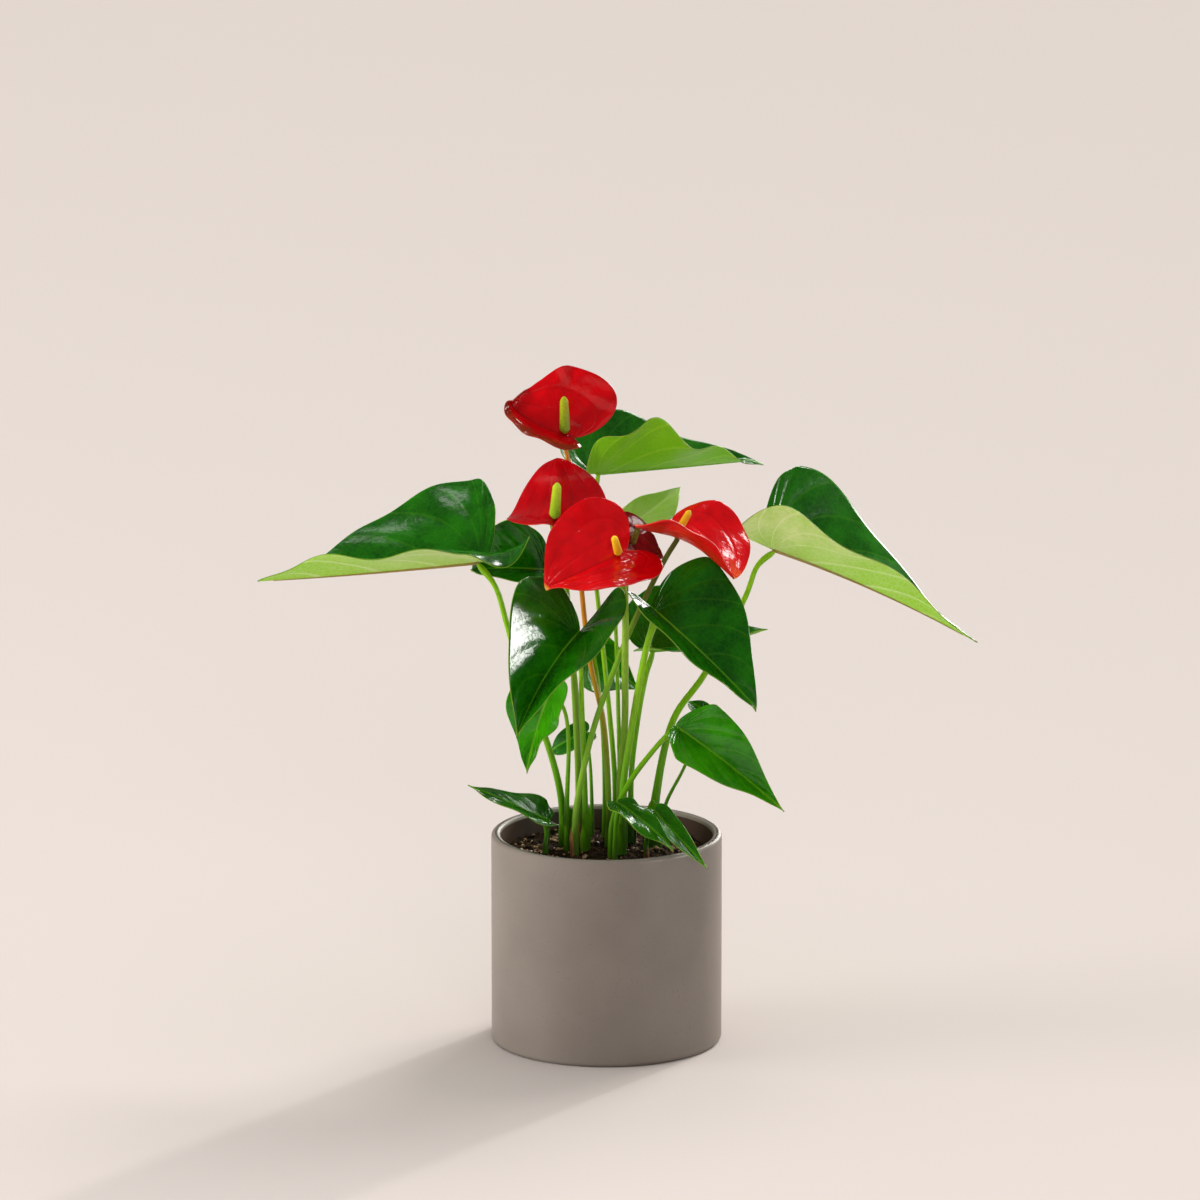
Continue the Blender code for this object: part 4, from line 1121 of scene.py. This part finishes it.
def stem_finish(name, low, high, low_z, high_z):
    """Two colours and the heights in mm where one ends and the other begins."""
    finish = new_finish(name, low, 0.3, Subsurface_Weight=0.15, Subsurface_Scale=0.0015,
                        Subsurface_Radius=(0.6, 1.0, 0.3), Specular_IOR_Level=0.2)
    place = object_place(finish)
    height = add_node(finish, "SeparateXYZ", {0: place}).outputs[2]
    stretched = add_node(finish, "Mapping", {0: place, 3: (1, 1, 0.06)}).outputs[0]
    streaks = noise_of(finish, stretched, 900, 3.0)
    spots = noise_of(finish, place, 220, 3.0, 0.6)
    tone = blend_colours(finish, band(finish, height, low_z * MM, high_z * MM), (*low, 1), (*high, 1))
    darker = tuple(STREAK_DARKNESS * part for part in low)
    tone = tint(finish, tone, band(finish, streaks, 0.45, 0.75), 0.5, darker)
    tone = tint(finish, tone, band(finish, spots, 0.62, 0.72), 0.4, STEM_SPOTS)
    # Painted shade: the foot darkens where the other stems shade it.
    tone = tint(finish, tone, band(finish, height, *SHADE_HEIGHTS), 0.85, SHADED_FOOT)
    join_to(finish, tone, "Base Color")
    join_to(finish, bump_from(finish, streaks, 0.00012, 0.5), "Normal")
    return finish


print("the foot is darkest below", SHADE_HEIGHTS[1] / MM, "mm")

# %% [markdown]
# Old leaves are the darkest. The smallest ones are a little paler and smoother, and on three that
# face the light the upper face is a brighter green, which is painted light. The youngest of all is
# pale on both sides. Three leaves show a very pale underside, with a brown midrib. Each face is one
# call with its own greens, so another leaf colour costs only one more line.

# %% The leaves' colours
LEAF_TOP = leaf_top("deep_green_upper_face", (0.002, 0.062, 0.0004), (0.009, 0.135, 0.0008),
                    (0.09, 0.30, 0.008), 0.14)
SMALL_TOP = leaf_top("small_leaf_upper_face", (0.006, 0.070, 0.0004), (0.018, 0.150, 0.0008),
                     (0.09, 0.30, 0.008), 0.17, 0.2)
# Painted light: a brighter copy of the upper face, for leaves that face the light.
PAINTED_LIGHT_TOP = leaf_top("upper_face_painted_light", (0.014, 0.150, 0.0006), (0.034, 0.260, 0.0012),
                      (0.16, 0.42, 0.012), 0.13)
PALE_UNDER = leaf_under("pale_under_face", (0.68, 0.76, 0.38), (0.44, 0.64, 0.13), (0.78, 0.84, 0.52),
                        (0.34, 0.62, 0.03))
LEAF_UNDER = leaf_under("bright_green_under_face", (0.20, 0.48, 0.006), (0.15, 0.40, 0.003),
                        (0.34, 0.60, 0.03), (0.19, 0.50, 0.004))
# The rim's paler green is partly the leaf's pale edge, partly a painted edge highlight.
LEAF_RIM = new_finish("thin_leaf_rim", (0.13, 0.27, 0.02), 0.5, Specular_IOR_Level=0.1,
                      Subsurface_Weight=0.3, Subsurface_Scale=0.002)
YOUNG_TOP = leaf_top("young_upper_face", (0.34, 0.50, 0.11), (0.26, 0.46, 0.05), (0.50, 0.64, 0.22), 0.3)
YOUNG_UNDER = leaf_under("young_under_face", (0.46, 0.60, 0.20), (0.36, 0.52, 0.12), (0.56, 0.66, 0.30),
                         (0.32, 0.52, 0.05))
# The darker green low on the leaves' stems is partly painted shade.
GREEN_STEM = stem_finish("green_leaf_stem", (0.095, 0.29, 0.003), (0.25, 0.51, 0.008), 140, 240)
BROWN_RIB = new_finish("brown_midrib", (0.33, 0.23, 0.05), 0.4, Subsurface_Weight=0.2,
                       Subsurface_Scale=0.001)
PLAIN_FACES = (LEAF_TOP, LEAF_UNDER)
PALE_FACES = (LEAF_TOP, PALE_UNDER)
PAINTED_LIGHT_FACES = (PAINTED_LIGHT_TOP, LEAF_UNDER)
SMALL_FACES = (SMALL_TOP, LEAF_UNDER)
FACES = {
    "leaf_left": PALE_FACES, "leaf_right": PALE_FACES, "leaf_back_left": PALE_FACES,
    # Painted light on the three leaves that face the light.
    "leaf_lower_right": PAINTED_LIGHT_FACES, "leaf_hanging": PAINTED_LIGHT_FACES, "leaf_back_middle": PAINTED_LIGHT_FACES,
    "leaf_low_left": SMALL_FACES, "leaf_low_front": SMALL_FACES, "leaf_low_rim": SMALL_FACES,
    "leaf_young": (YOUNG_TOP, YOUNG_UNDER),
}
print("leaves with faces of their own:", len(FACES), "of", len(LEAVES))

# %% [markdown]
# A leaf's skin is never even. It puffs up between its side veins, sinks to a shallow trough along
# the midrib, and has slow dents all over, which is what breaks a long glare into patches. All of
# it is real relief, a height in mm for each point. The dents are a sum of six waves, whose
# direction and length come from a seeded draw, so each blade has its own and keeps it.

# %% Relief of the leaves
DENT_WAVES = 6
DENT_HEIGHT = 1.6
TROUGH_WIDTH = 0.05


def slow_dents(blade, turn, reach, side, size, seed):
    """A sum of a few slow waves over the flat blade, mostly between -1 and 1."""
    along, across = blade.flat(turn, reach, side)
    across = np.where(side == 1, across, -across)
    draw = random.Random(seed)
    waves = np.zeros(turn.shape)
    for _ in range(DENT_WAVES):
        way, length = draw.uniform(0, math.pi), size * draw.uniform(0.6, 1.7)
        phase = (along * math.cos(way) + across * math.sin(way)) / length + draw.random()
        waves += np.sin(2 * np.pi * phase) / DENT_WAVES
    return waves * DENT_HEIGHT


def leaf_relief(blade, depth):
    """Puffs, the trough and the dents, as a height in mm for each point of the blade's grid."""
    def relief(turn, reach, side):
        phase = (turn + VEIN_SWEEP * reach**2) * LEAF_VEINS
        puffs = np.abs(np.sin(np.pi * phase)) ** 0.6 - 0.6
        calm = np.clip(reach * 4, 0, 1) * (1 - np.clip((reach - 0.7) / 0.3, 0, 1) ** 2)
        trough = -0.5 * np.exp(-(reach / TROUGH_WIDTH) ** 2) * np.clip(turn * 6, 0, 1)
        dents = slow_dents(blade, turn, reach, side, 0.3 * blade.length, round(blade.length * 10))
        return depth * (puffs * calm + trough + 0.8 * dents * np.clip(reach * 3, 0, 1))
    return relief


print("waves in a blade's dents:", DENT_WAVES)

# %% [markdown]
# The midrib stands out underneath as a tapering cord, and the stem thickens to a round knee just
# before it meets the blade. Near the ground it widens again into a sheath, most of all on the
# right leaf. All three are set by the radius along the way, and joined with the blade into one
# piece. Small leaves get a coarser grid and hardly any relief, because it can't be seen on them.

# %% Stem, midrib and leaf
LEAF_THICKNESS = 0.6
KNEE_LENGTH = 7.0
KNEE_WIDTH = 5.0
KNEE_SWELL = 0.30
SHEATH_LENGTH = 16.0
SHEATH_SWELL = 0.35
WIDE_SHEATHS = {"leaf_right": 0.9}
LARGE_LEAF = 45
LARGE_GRID, LARGE_RELIEF = (34, 100), 0.20
SMALL_GRID, SMALL_RELIEF = (20, 56), 0.03


def leaf_stem(blade, route, radius, finish, swell):
    """The stem, from the foot to just under the blade, with its knee and its sheath."""
    seat, up = blade.seat()
    way = stem_way(route, seat - up * 0.1, 54)
    share, length = shares_of(way)
    radii = radius[0] + (radius[1] - radius[0]) * share
    to_knee = ((1 - share) * length - KNEE_LENGTH) / KNEE_WIDTH
    radii = radii * (1 + KNEE_SWELL * np.exp(-to_knee**2))
    radii = radii * (1 + swell * np.exp(-np.clip(way[:, 2] - STEM_START, 0, None) / SHEATH_LENGTH))
    radii[-3:] *= (0.95, 0.8, 0.5)
    made = round_skin("stem", way, radii, 14)
    made.data.materials.append(finish)
    return made


def leaf_rib(blade, radius, finish):
    """The raised midrib under the blade."""
    shares = np.linspace(0.005, 0.93, 30)
    radii = radius * 0.62 * (1 - shares) ** 0.8 + 0.12
    way = blade.midrib(shares) - blade.frame(shares)[2] * (LEAF_THICKNESS / 2 + radii * 0.25)[:, None]
    made = round_skin("rib", way, radii, 8)
    made.data.materials.append(finish)
    return made


def grow_leaf(name, blade, route, radius, top, under):
    large = blade.length > LARGE_LEAF
    grid, depth = (LARGE_GRID, LARGE_RELIEF) if large else (SMALL_GRID, SMALL_RELIEF)
    made = blade_skin("blade", blade, *grid, leaf_relief(blade, depth))
    for finish in (top, under, LEAF_RIM):
        made.data.materials.append(finish)
    thicken(made, LEAF_THICKNESS)
    stem = leaf_stem(blade, route, radius, GREEN_STEM, WIDE_SHEATHS.get(name, SHEATH_SWELL))
    rib = leaf_rib(blade, radius[1], BROWN_RIB if under is PALE_UNDER else under)
    return join_pieces(name + "_grown", [made, stem, rib])


print("blades longer than", LARGE_LEAF, "mm get the fine grid")

# %% [markdown]
# With the helpers in place, the sixteen leaves are one loop over their places. Each one stands
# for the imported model's leaf of the same name, and rides on the plant.

# %% Growing the leaves
for name, (blade, route, radius) in LEAVES.items():
    grown = grow_leaf(name, blade, route, radius, *FACES.get(name, PLAIN_FACES))
    keep(grown, name)
    print(grown.name, len(grown.data.polygons), "faces, blade", round(blade.length), "mm")

# %% [markdown]
# A spathe looks lacquered. Its veins are sunk and the skin between them puffs up, so a light
# breaks into short bright streaks. The main veins leave the stalk, follow the outline of the
# heart and meet again at the tip, and smaller ones cross between them. Both are drawn from the
# blade's maps, tinted a little darker and pressed in, over a finer net. The cusp at the tip can be
# golden, and the left half of an old spathe can be flushed with brown from its margin inwards.

# %% Spathe face
LOOP_VEINS = 2.8
LOOP_DRIFT = 0.35
CROSS_VEINS = 9.0
SPATHE_NET = 70
BROWN_FLUSH = (0.15, 0.030, 0.010)
GOLDEN_CUSP = (0.72, 0.36, 0.07)


def loop_veins(finish, reach, turn, width):
    """1 on the veins that run round with the margin."""
    looped = sums(finish, "MULTIPLY", reach, LOOP_VEINS)
    return lines_at(finish, sums(finish, "MULTIPLY_ADD", turn, LOOP_DRIFT, looped), width)


def brown_flush(finish, tone, reach, flat, amount):
    """The tone with brown blotches on the left half, denser towards the margin."""
    blotch = noise_of(finish, flat, 55, 4.0, 0.6)
    spread = sums(finish, "MULTIPLY_ADD", blotch, 0.5, sums(finish, "SUBTRACT", reach, 0.25))
    across = add_node(finish, "SeparateXYZ", {0: flat}).outputs[0]
    left_half = sums(finish, "MULTIPLY", band(finish, across, 0.505, 0.49), amount)
    return tint(finish, tone, band(finish, spread, 0.35, 0.85), left_half, BROWN_FLUSH)


def spathe_face(name, red, deep, vein, roughness, shine, brown=0.0, golden=0.0):
    finish = new_finish(name, red, roughness, Specular_IOR_Level=shine, Subsurface_Weight=0.2,
                        Subsurface_Scale=0.0015, Subsurface_Radius=(1.0, 0.15, 0.1))
    turn, reach, flat = vein_maps(finish)
    loops = loop_veins(finish, reach, turn, 0.16)
    crosses = side_veins(finish, turn, reach, CROSS_VEINS, 0.3, 0.12)
    lines = sums(finish, "MAXIMUM", loops, sums(finish, "MULTIPLY", crosses, 0.25))
    cloud = noise_of(finish, flat, 16, 3.0)
    tone = blend_colours(finish, band(finish, cloud, 0.3, 0.7), (*red, 1), (*deep, 1))
    tone = tint(finish, tone, lines, 0.14, vein)
    tone = tint(finish, tone, midrib_line(finish, flat, 1.2), 0.5, vein)
    if brown:
        tone = brown_flush(finish, tone, reach, flat, brown)
    tone = tint(finish, tone, band(finish, turn, 0.03, 0.008), golden, GOLDEN_CUSP)
    join_to(finish, tone, "Base Color")
    fine = bump_from(finish, inverse(finish, net_of(finish, flat, SPATHE_NET)), 0.00004, 0.4)
    sunk = bump_from(finish, inverse(finish, lines), 0.0003, 0.4, fine)
    join_to(finish, bump_from(finish, noise_of(finish, flat, 46, 2.0), 0.0006, 0.2, sunk), "Normal")
    return finish


print("loops and crosses in a spathe's half:", LOOP_VEINS, CROSS_VEINS)

# %% [markdown]
# No two flowers are the same age, so each one's spathe has its own reds. The front and right ones
# are freshest. The left one is a shade darker, the top one is old, brown on its left half and dull
# behind, and the one at the back, in the shade of the others, is a deep maroon that is painted
# shade. A back is duller than its face. The stalks differ too: orange under the top flower,
# brown-green under the right one and green elsewhere.

# %% The flowers' colours
SPATHE_FACE = spathe_face("lacquered_red_face", (0.63, 0.0006, 0.004), (0.50, 0.0005, 0.003),
                          (0.34, 0.0005, 0.002), 0.13, 0.3, golden=0.8)
PLAIN_FACE = spathe_face("darker_red_face", (0.50, 0.0006, 0.004), (0.36, 0.0005, 0.003),
                         (0.30, 0.002, 0.002), 0.15, 0.3)
AGED_FACE = spathe_face("aged_red_face", (0.58, 0.0006, 0.004), (0.44, 0.0005, 0.003),
                        (0.24, 0.004, 0.002), 0.15, 0.3, 0.85)
SPATHE_BACK = spathe_face("bright_red_back", (0.60, 0.003, 0.006), (0.46, 0.003, 0.005),
                          (0.66, 0.02, 0.015), 0.28, 0.3)
AGED_BACK = spathe_face("dull_red_back", (0.34, 0.022, 0.012), (0.24, 0.018, 0.009),
                        (0.46, 0.06, 0.03), 0.36, 0.2)
# Painted shade: the back spathe's face is darkened to maroon for the shade it stands in.
PAINTED_SHADE_FACE = spathe_face("maroon_face_painted_shade", (0.22, 0.0006, 0.003), (0.13, 0.0005, 0.002),
                        (0.09, 0.0005, 0.002), 0.2, 0.12)
SPATHE_RIM = new_finish("bright_red_rim", (0.62, 0.02, 0.012), 0.3, Coat_Weight=0.3)
ORANGE_STALK = stem_finish("orange_stalk", (0.15, 0.27, 0.012), (0.62, 0.21, 0.012), 150, 270)
GREEN_STALK = stem_finish("green_flower_stalk", (0.15, 0.31, 0.014), (0.27, 0.44, 0.035), 130, 280)
BROWN_STALK = stem_finish("brown_green_stalk", (0.20, 0.40, 0.025), (0.085, 0.080, 0.010), 225, 290)
FRESH_SPATHE = (SPATHE_FACE, SPATHE_BACK, SPATHE_RIM)
SPATHE_FINISHES = {
    "top": (AGED_FACE, AGED_BACK, AGED_BACK),
    "left": (PLAIN_FACE, SPATHE_BACK, SPATHE_RIM),
    "back": (PAINTED_SHADE_FACE, AGED_BACK, SPATHE_RIM),
}
STALK_FINISHES = {"top": ORANGE_STALK, "right": BROWN_STALK}
print("spathe finishes:", [finish.name for finish in (SPATHE_FACE, PLAIN_FACE, AGED_FACE, PAINTED_SHADE_FACE)])

# %% [markdown]
# The spadix is a blunt finger packed with tiny flowers in two sets of spirals. Each is a low
# four-sided cushion, so the skin of a fine closed grid is raised on a spiral lattice and dips
# between. Where both spirals are high, a cushion stands. Two of the spadices are yellow, two are
# green at the base and yellower at the tip, and the one at the back, in the shade of the others, is
# a dark olive brown that is painted shade. Each pair of colours is for the base and for the tip.

# %% Spadix
SPADIX_AROUND = 84
SPADIX_ROWS = 120
SPIRALS = (8, 13)
FLOWER_HEIGHT = 0.28
POLLEN = (0.70, 0.66, 0.08)
SPADIX_COLOURS = {
    "top": ((0.16, 0.27, 0.006), (0.36, 0.40, 0.008)),
    "left": ((0.22, 0.40, 0.008), (0.44, 0.60, 0.015)),
    "front": ((0.80, 0.48, 0.012), (0.88, 0.60, 0.02)),
    "right": ((0.82, 0.50, 0.012), (0.70, 0.50, 0.02)),
    # Painted shade: the back spadix is darkened to olive brown for the shade it stands in.
    "back": ((0.16, 0.10, 0.01), (0.10, 0.08, 0.01)),
}


def spadix_finish(name, base, tip, low_z, high_z):
    finish = new_finish(name, base, 0.5, Specular_IOR_Level=0.2, Subsurface_Weight=0.2,
                        Subsurface_Scale=0.0015, Subsurface_Radius=(1.0, 0.9, 0.3))
    place = object_place(finish)
    height = add_node(finish, "SeparateXYZ", {0: place}).outputs[2]
    grain = noise_of(finish, place, 1500, 2.0)
    tone = blend_colours(finish, band(finish, height, low_z, high_z), (*base, 1), (*tip, 1))
    tone = tint(finish, tone, band(finish, grain, 0.5, 0.75), 0.45, POLLEN)
    join_to(finish, tone, "Base Color")
    join_to(finish, bump_from(finish, grain, 0.0002, 0.6), "Normal")
    return finish


def spadix_skin(name, foot, direction, length, radius):
    turned = np.array(Vector(direction).normalized().to_track_quat("Z", "Y").to_matrix())

    def shape(x, y):
        level, around = (y + 1) / 2, np.pi * x
        width = radius * (1.02 - 0.30 * level) * np.minimum(1, np.sin(np.pi * level) * 2.6) ** 0.55
        rise = level * length
        scale = rise / (2 * np.pi * radius)
        one = np.cos(SPIRALS[0] * around + 2 * np.pi * scale * SPIRALS[1])
        other = np.cos(SPIRALS[1] * around - 2 * np.pi * scale * SPIRALS[0])
        cushions = (np.clip(one + other, -0.6, 1.5) + 0.6) / 2.1
        width = width + FLOWER_HEIGHT * (cushions - 0.5) * np.clip(np.sin(np.pi * level) * 5, 0, 1)
        width = np.where((level < 1e-6) | (level > 1 - 1e-6), 0, width)
        local = np.stack([np.cos(around) * width, np.sin(around) * width, rise], 1)
        return np.array(foot) + local @ turned.T

    return bent_grid(name, SPADIX_AROUND, SPADIX_ROWS, shape)


print("spirals round a spadix:", SPIRALS)

# %% [markdown]
# A spathe's relief is like a leaf's, with other veins: puffs between the looping ones, a sharper
# seam on the midrib, slow dents and a few finer ones. Puffs that are too deep look crumpled in a
# strong glare, so the two spathes that mirror most light have shallower ones.

# %% Relief of the spathes
PUFF_DEPTH = 0.24
PUFFS = {"left": 0.12, "right": 0.15}
SEAM_WIDTH = 0.04
SLOW_DENTS = (16, 5)
FINE_DENTS = (5, 8)


def spathe_relief(blade, depth):
    """Puffs, the seam and the dents, as a height in mm. Dents are a size in mm and a seed."""
    def relief(turn, reach, side):
        loops = np.abs(np.sin(np.pi * (reach * LOOP_VEINS + LOOP_DRIFT * turn))) ** 0.8 - 0.6
        calm = np.clip(reach * 5, 0, 1) * (1 - np.clip((reach - 0.85) / 0.15, 0, 1) ** 2)
        seam = -1.1 * np.exp(-(reach / SEAM_WIDTH) ** 2) * np.clip(turn * 8, 0, 1)
        slow = slow_dents(blade, turn, reach, side, *SLOW_DENTS) * np.clip(reach * 3, 0, 1)
        fine = slow_dents(blade, turn, reach, side, *FINE_DENTS) * calm
        return depth * (loops * calm + seam + 1.6 * slow + 0.3 * fine)
    return relief


print("puffs:", PUFF_DEPTH, "mm, and shallower on", list(PUFFS))

# %% [markdown]
# Now each flower is put together: the spathe from its own skin, the stalk with its neck under
# the notch, and the spadix standing in the crease. The spadix takes its middle from the packed
# model's own node, so it can't drift from its place while its skin gets finer.

# %% Growing the flowers
SPATHE_THICKNESS = 0.7
SPATHE_GRID = (40, 104)
STALK_SWELL = 0.25
SEAT_GAP = 0.4


def grow_spathe(name, blade):
    depth = PUFFS.get(name, PUFF_DEPTH)
    made = blade_skin("spathe_" + name + "_grown", blade, *SPATHE_GRID, spathe_relief(blade, depth))
    for finish in SPATHE_FINISHES.get(name, FRESH_SPATHE):
        made.data.materials.append(finish)
    thicken(made, SPATHE_THICKNESS)
    keep(made, "spathe_" + name)
    return made


def grow_stalk(name, blade, route, radius):
    """A stalk that ends just under the crease, lower where the spathe's halves droop."""
    seat, up = blade.seat()
    droop = math.radians(max(0, -min(blade.fold)))
    top = seat - up * (SEAT_GAP + radius[1] * math.tan(droop))
    way = np.vstack([stem_way(route, top - up * 4, 56), top - up * 2, top])
    radii = radius[0] + (radius[1] - radius[0]) * shares_of(way)[0]
    swell = np.exp(-np.clip(way[:, 2] - STEM_START, 0, None) / SHEATH_LENGTH)
    stalk = round_skin("stalk_" + name + "_grown", way, radii * (1 + STALK_SWELL * swell), 18)
    stalk.data.materials.append(STALK_FINISHES.get(name, GREEN_STALK))
    keep(stalk, "stalk_" + name)


def grow_spadix(name, direction, length, radius):
    low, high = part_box("spadix_" + name)
    middle = np.array((low + high) / 2) / MM
    foot = middle - np.array(Vector(direction).normalized()) * length / 2
    spadix = spadix_skin("spadix_" + name + "_grown", foot, direction, length, radius)
    finish = spadix_finish(name + "_spadix_yellow_green", *SPADIX_COLOURS[name], low.z, high.z)
    spadix.data.materials.append(finish)
    keep(spadix, "spadix_" + name)


for name, (blade, route, radius, direction, length, thick) in FLOWERS.items():
    grown = grow_spathe(name, blade)
    grow_stalk(name, blade, route, radius)
    grow_spadix(name, direction, length, thick)
    print(grown.name, len(grown.data.polygons), "faces, spathe", round(blade.length), "mm")

# %% [markdown]
# Each stem was wrapped in a sheath when it was young. What is left of it is a thin scale that
# hugs the foot of the stem, pointed at the top: green on some, dry and brown like paper on most.
# A grid is bent part of the way round the stem and drawn in to a point. Each entry is the foot,
# the stem's radius, the height, the way it faces, how far round it goes, how far its tip leans
# out, and its finish, in mm and degrees.

# %% Sheaths
SCALE_THICKNESS = 0.35
SCALE_FOOT = 117
SCALE_GAP = 0.5
PAPER = new_finish("dry_papery_scale", (0.30, 0.14, 0.045), 0.65, Subsurface_Weight=0.2,
                   Subsurface_Scale=0.001)
paper_place = add_node(PAPER, "Mapping", {0: object_place(PAPER), 3: (1, 1, 0.1)}).outputs[0]
paper_streaks = noise_of(PAPER, paper_place, 700, 3.0)
paper_mask = band(PAPER, paper_streaks, 0.35, 0.7)
paper_tone = blend_colours(PAPER, paper_mask, (0.07, 0.028, 0.010, 1), (0.30, 0.15, 0.045, 1))
join_to(PAPER, paper_tone, "Base Color")
join_to(PAPER, bump_from(PAPER, paper_streaks, 0.0003, 0.7), "Normal")
SCALES = (
    ((-26, 12), 2.9, 26, -50, 110, 2.6, GREEN_STEM),
    ((-17, 1), 2.8, 22, -95, 45, 1.6, PAPER),
    ((-13, -8), 2.5, 30, -60, 100, 1.8, GREEN_STEM),
    ((-19, -15), 2.5, 20, -130, 32, 1.6, PAPER),
    ((8, -5), 2.9, 19, -60, 45, 1.5, PAPER),
    ((9, -14), 2.9, 24, -120, 95, 2.0, GREEN_STEM),
    ((3, -22), 2.6, 10, -60, 40, 1.6, PAPER),
    ((29, 7), 3.6, 33, -100, 105, 2.6, GREEN_STEM),
    ((24, -18), 1.9, 9, -80, 40, 1.5, PAPER),
    ((15, 14), 2.4, 22, 60, 90, 1.8, PAPER),
    ((5, 11), 2.3, 26, 110, 100, 1.6, GREEN_STEM),
)


def foot_scale(foot, radius, height, facing, spread, lean, finish):
    """A pointed scale round the foot of a stem."""
    def shape(x, y):
        level = (y + 1) / 2
        width = math.radians(spread) * (1 - level**1.6) ** 0.7
        turn = math.radians(facing) + x * width
        out = radius + SCALE_GAP + lean * level**2 + 0.5 * np.sin(5 * turn + 4 * level) * level
        rise = SCALE_FOOT + height * level - 1.5 * x**2 * level
        return np.stack([foot[0] + out * np.cos(turn), foot[1] + out * np.sin(turn), rise], 1)

    made = bent_grid("scale", 16, 26, shape, closed=False)
    made.data.materials.append(finish)
    wall = made.modifiers.new("thickness", "SOLIDIFY")
    wall.thickness = SCALE_THICKNESS * MM
    wall.offset = 0
    apply_all(made)
    return made


keep(join_pieces("foot_scales", [foot_scale(*facts) for facts in SCALES]), None)
print("scales:", len(SCALES))
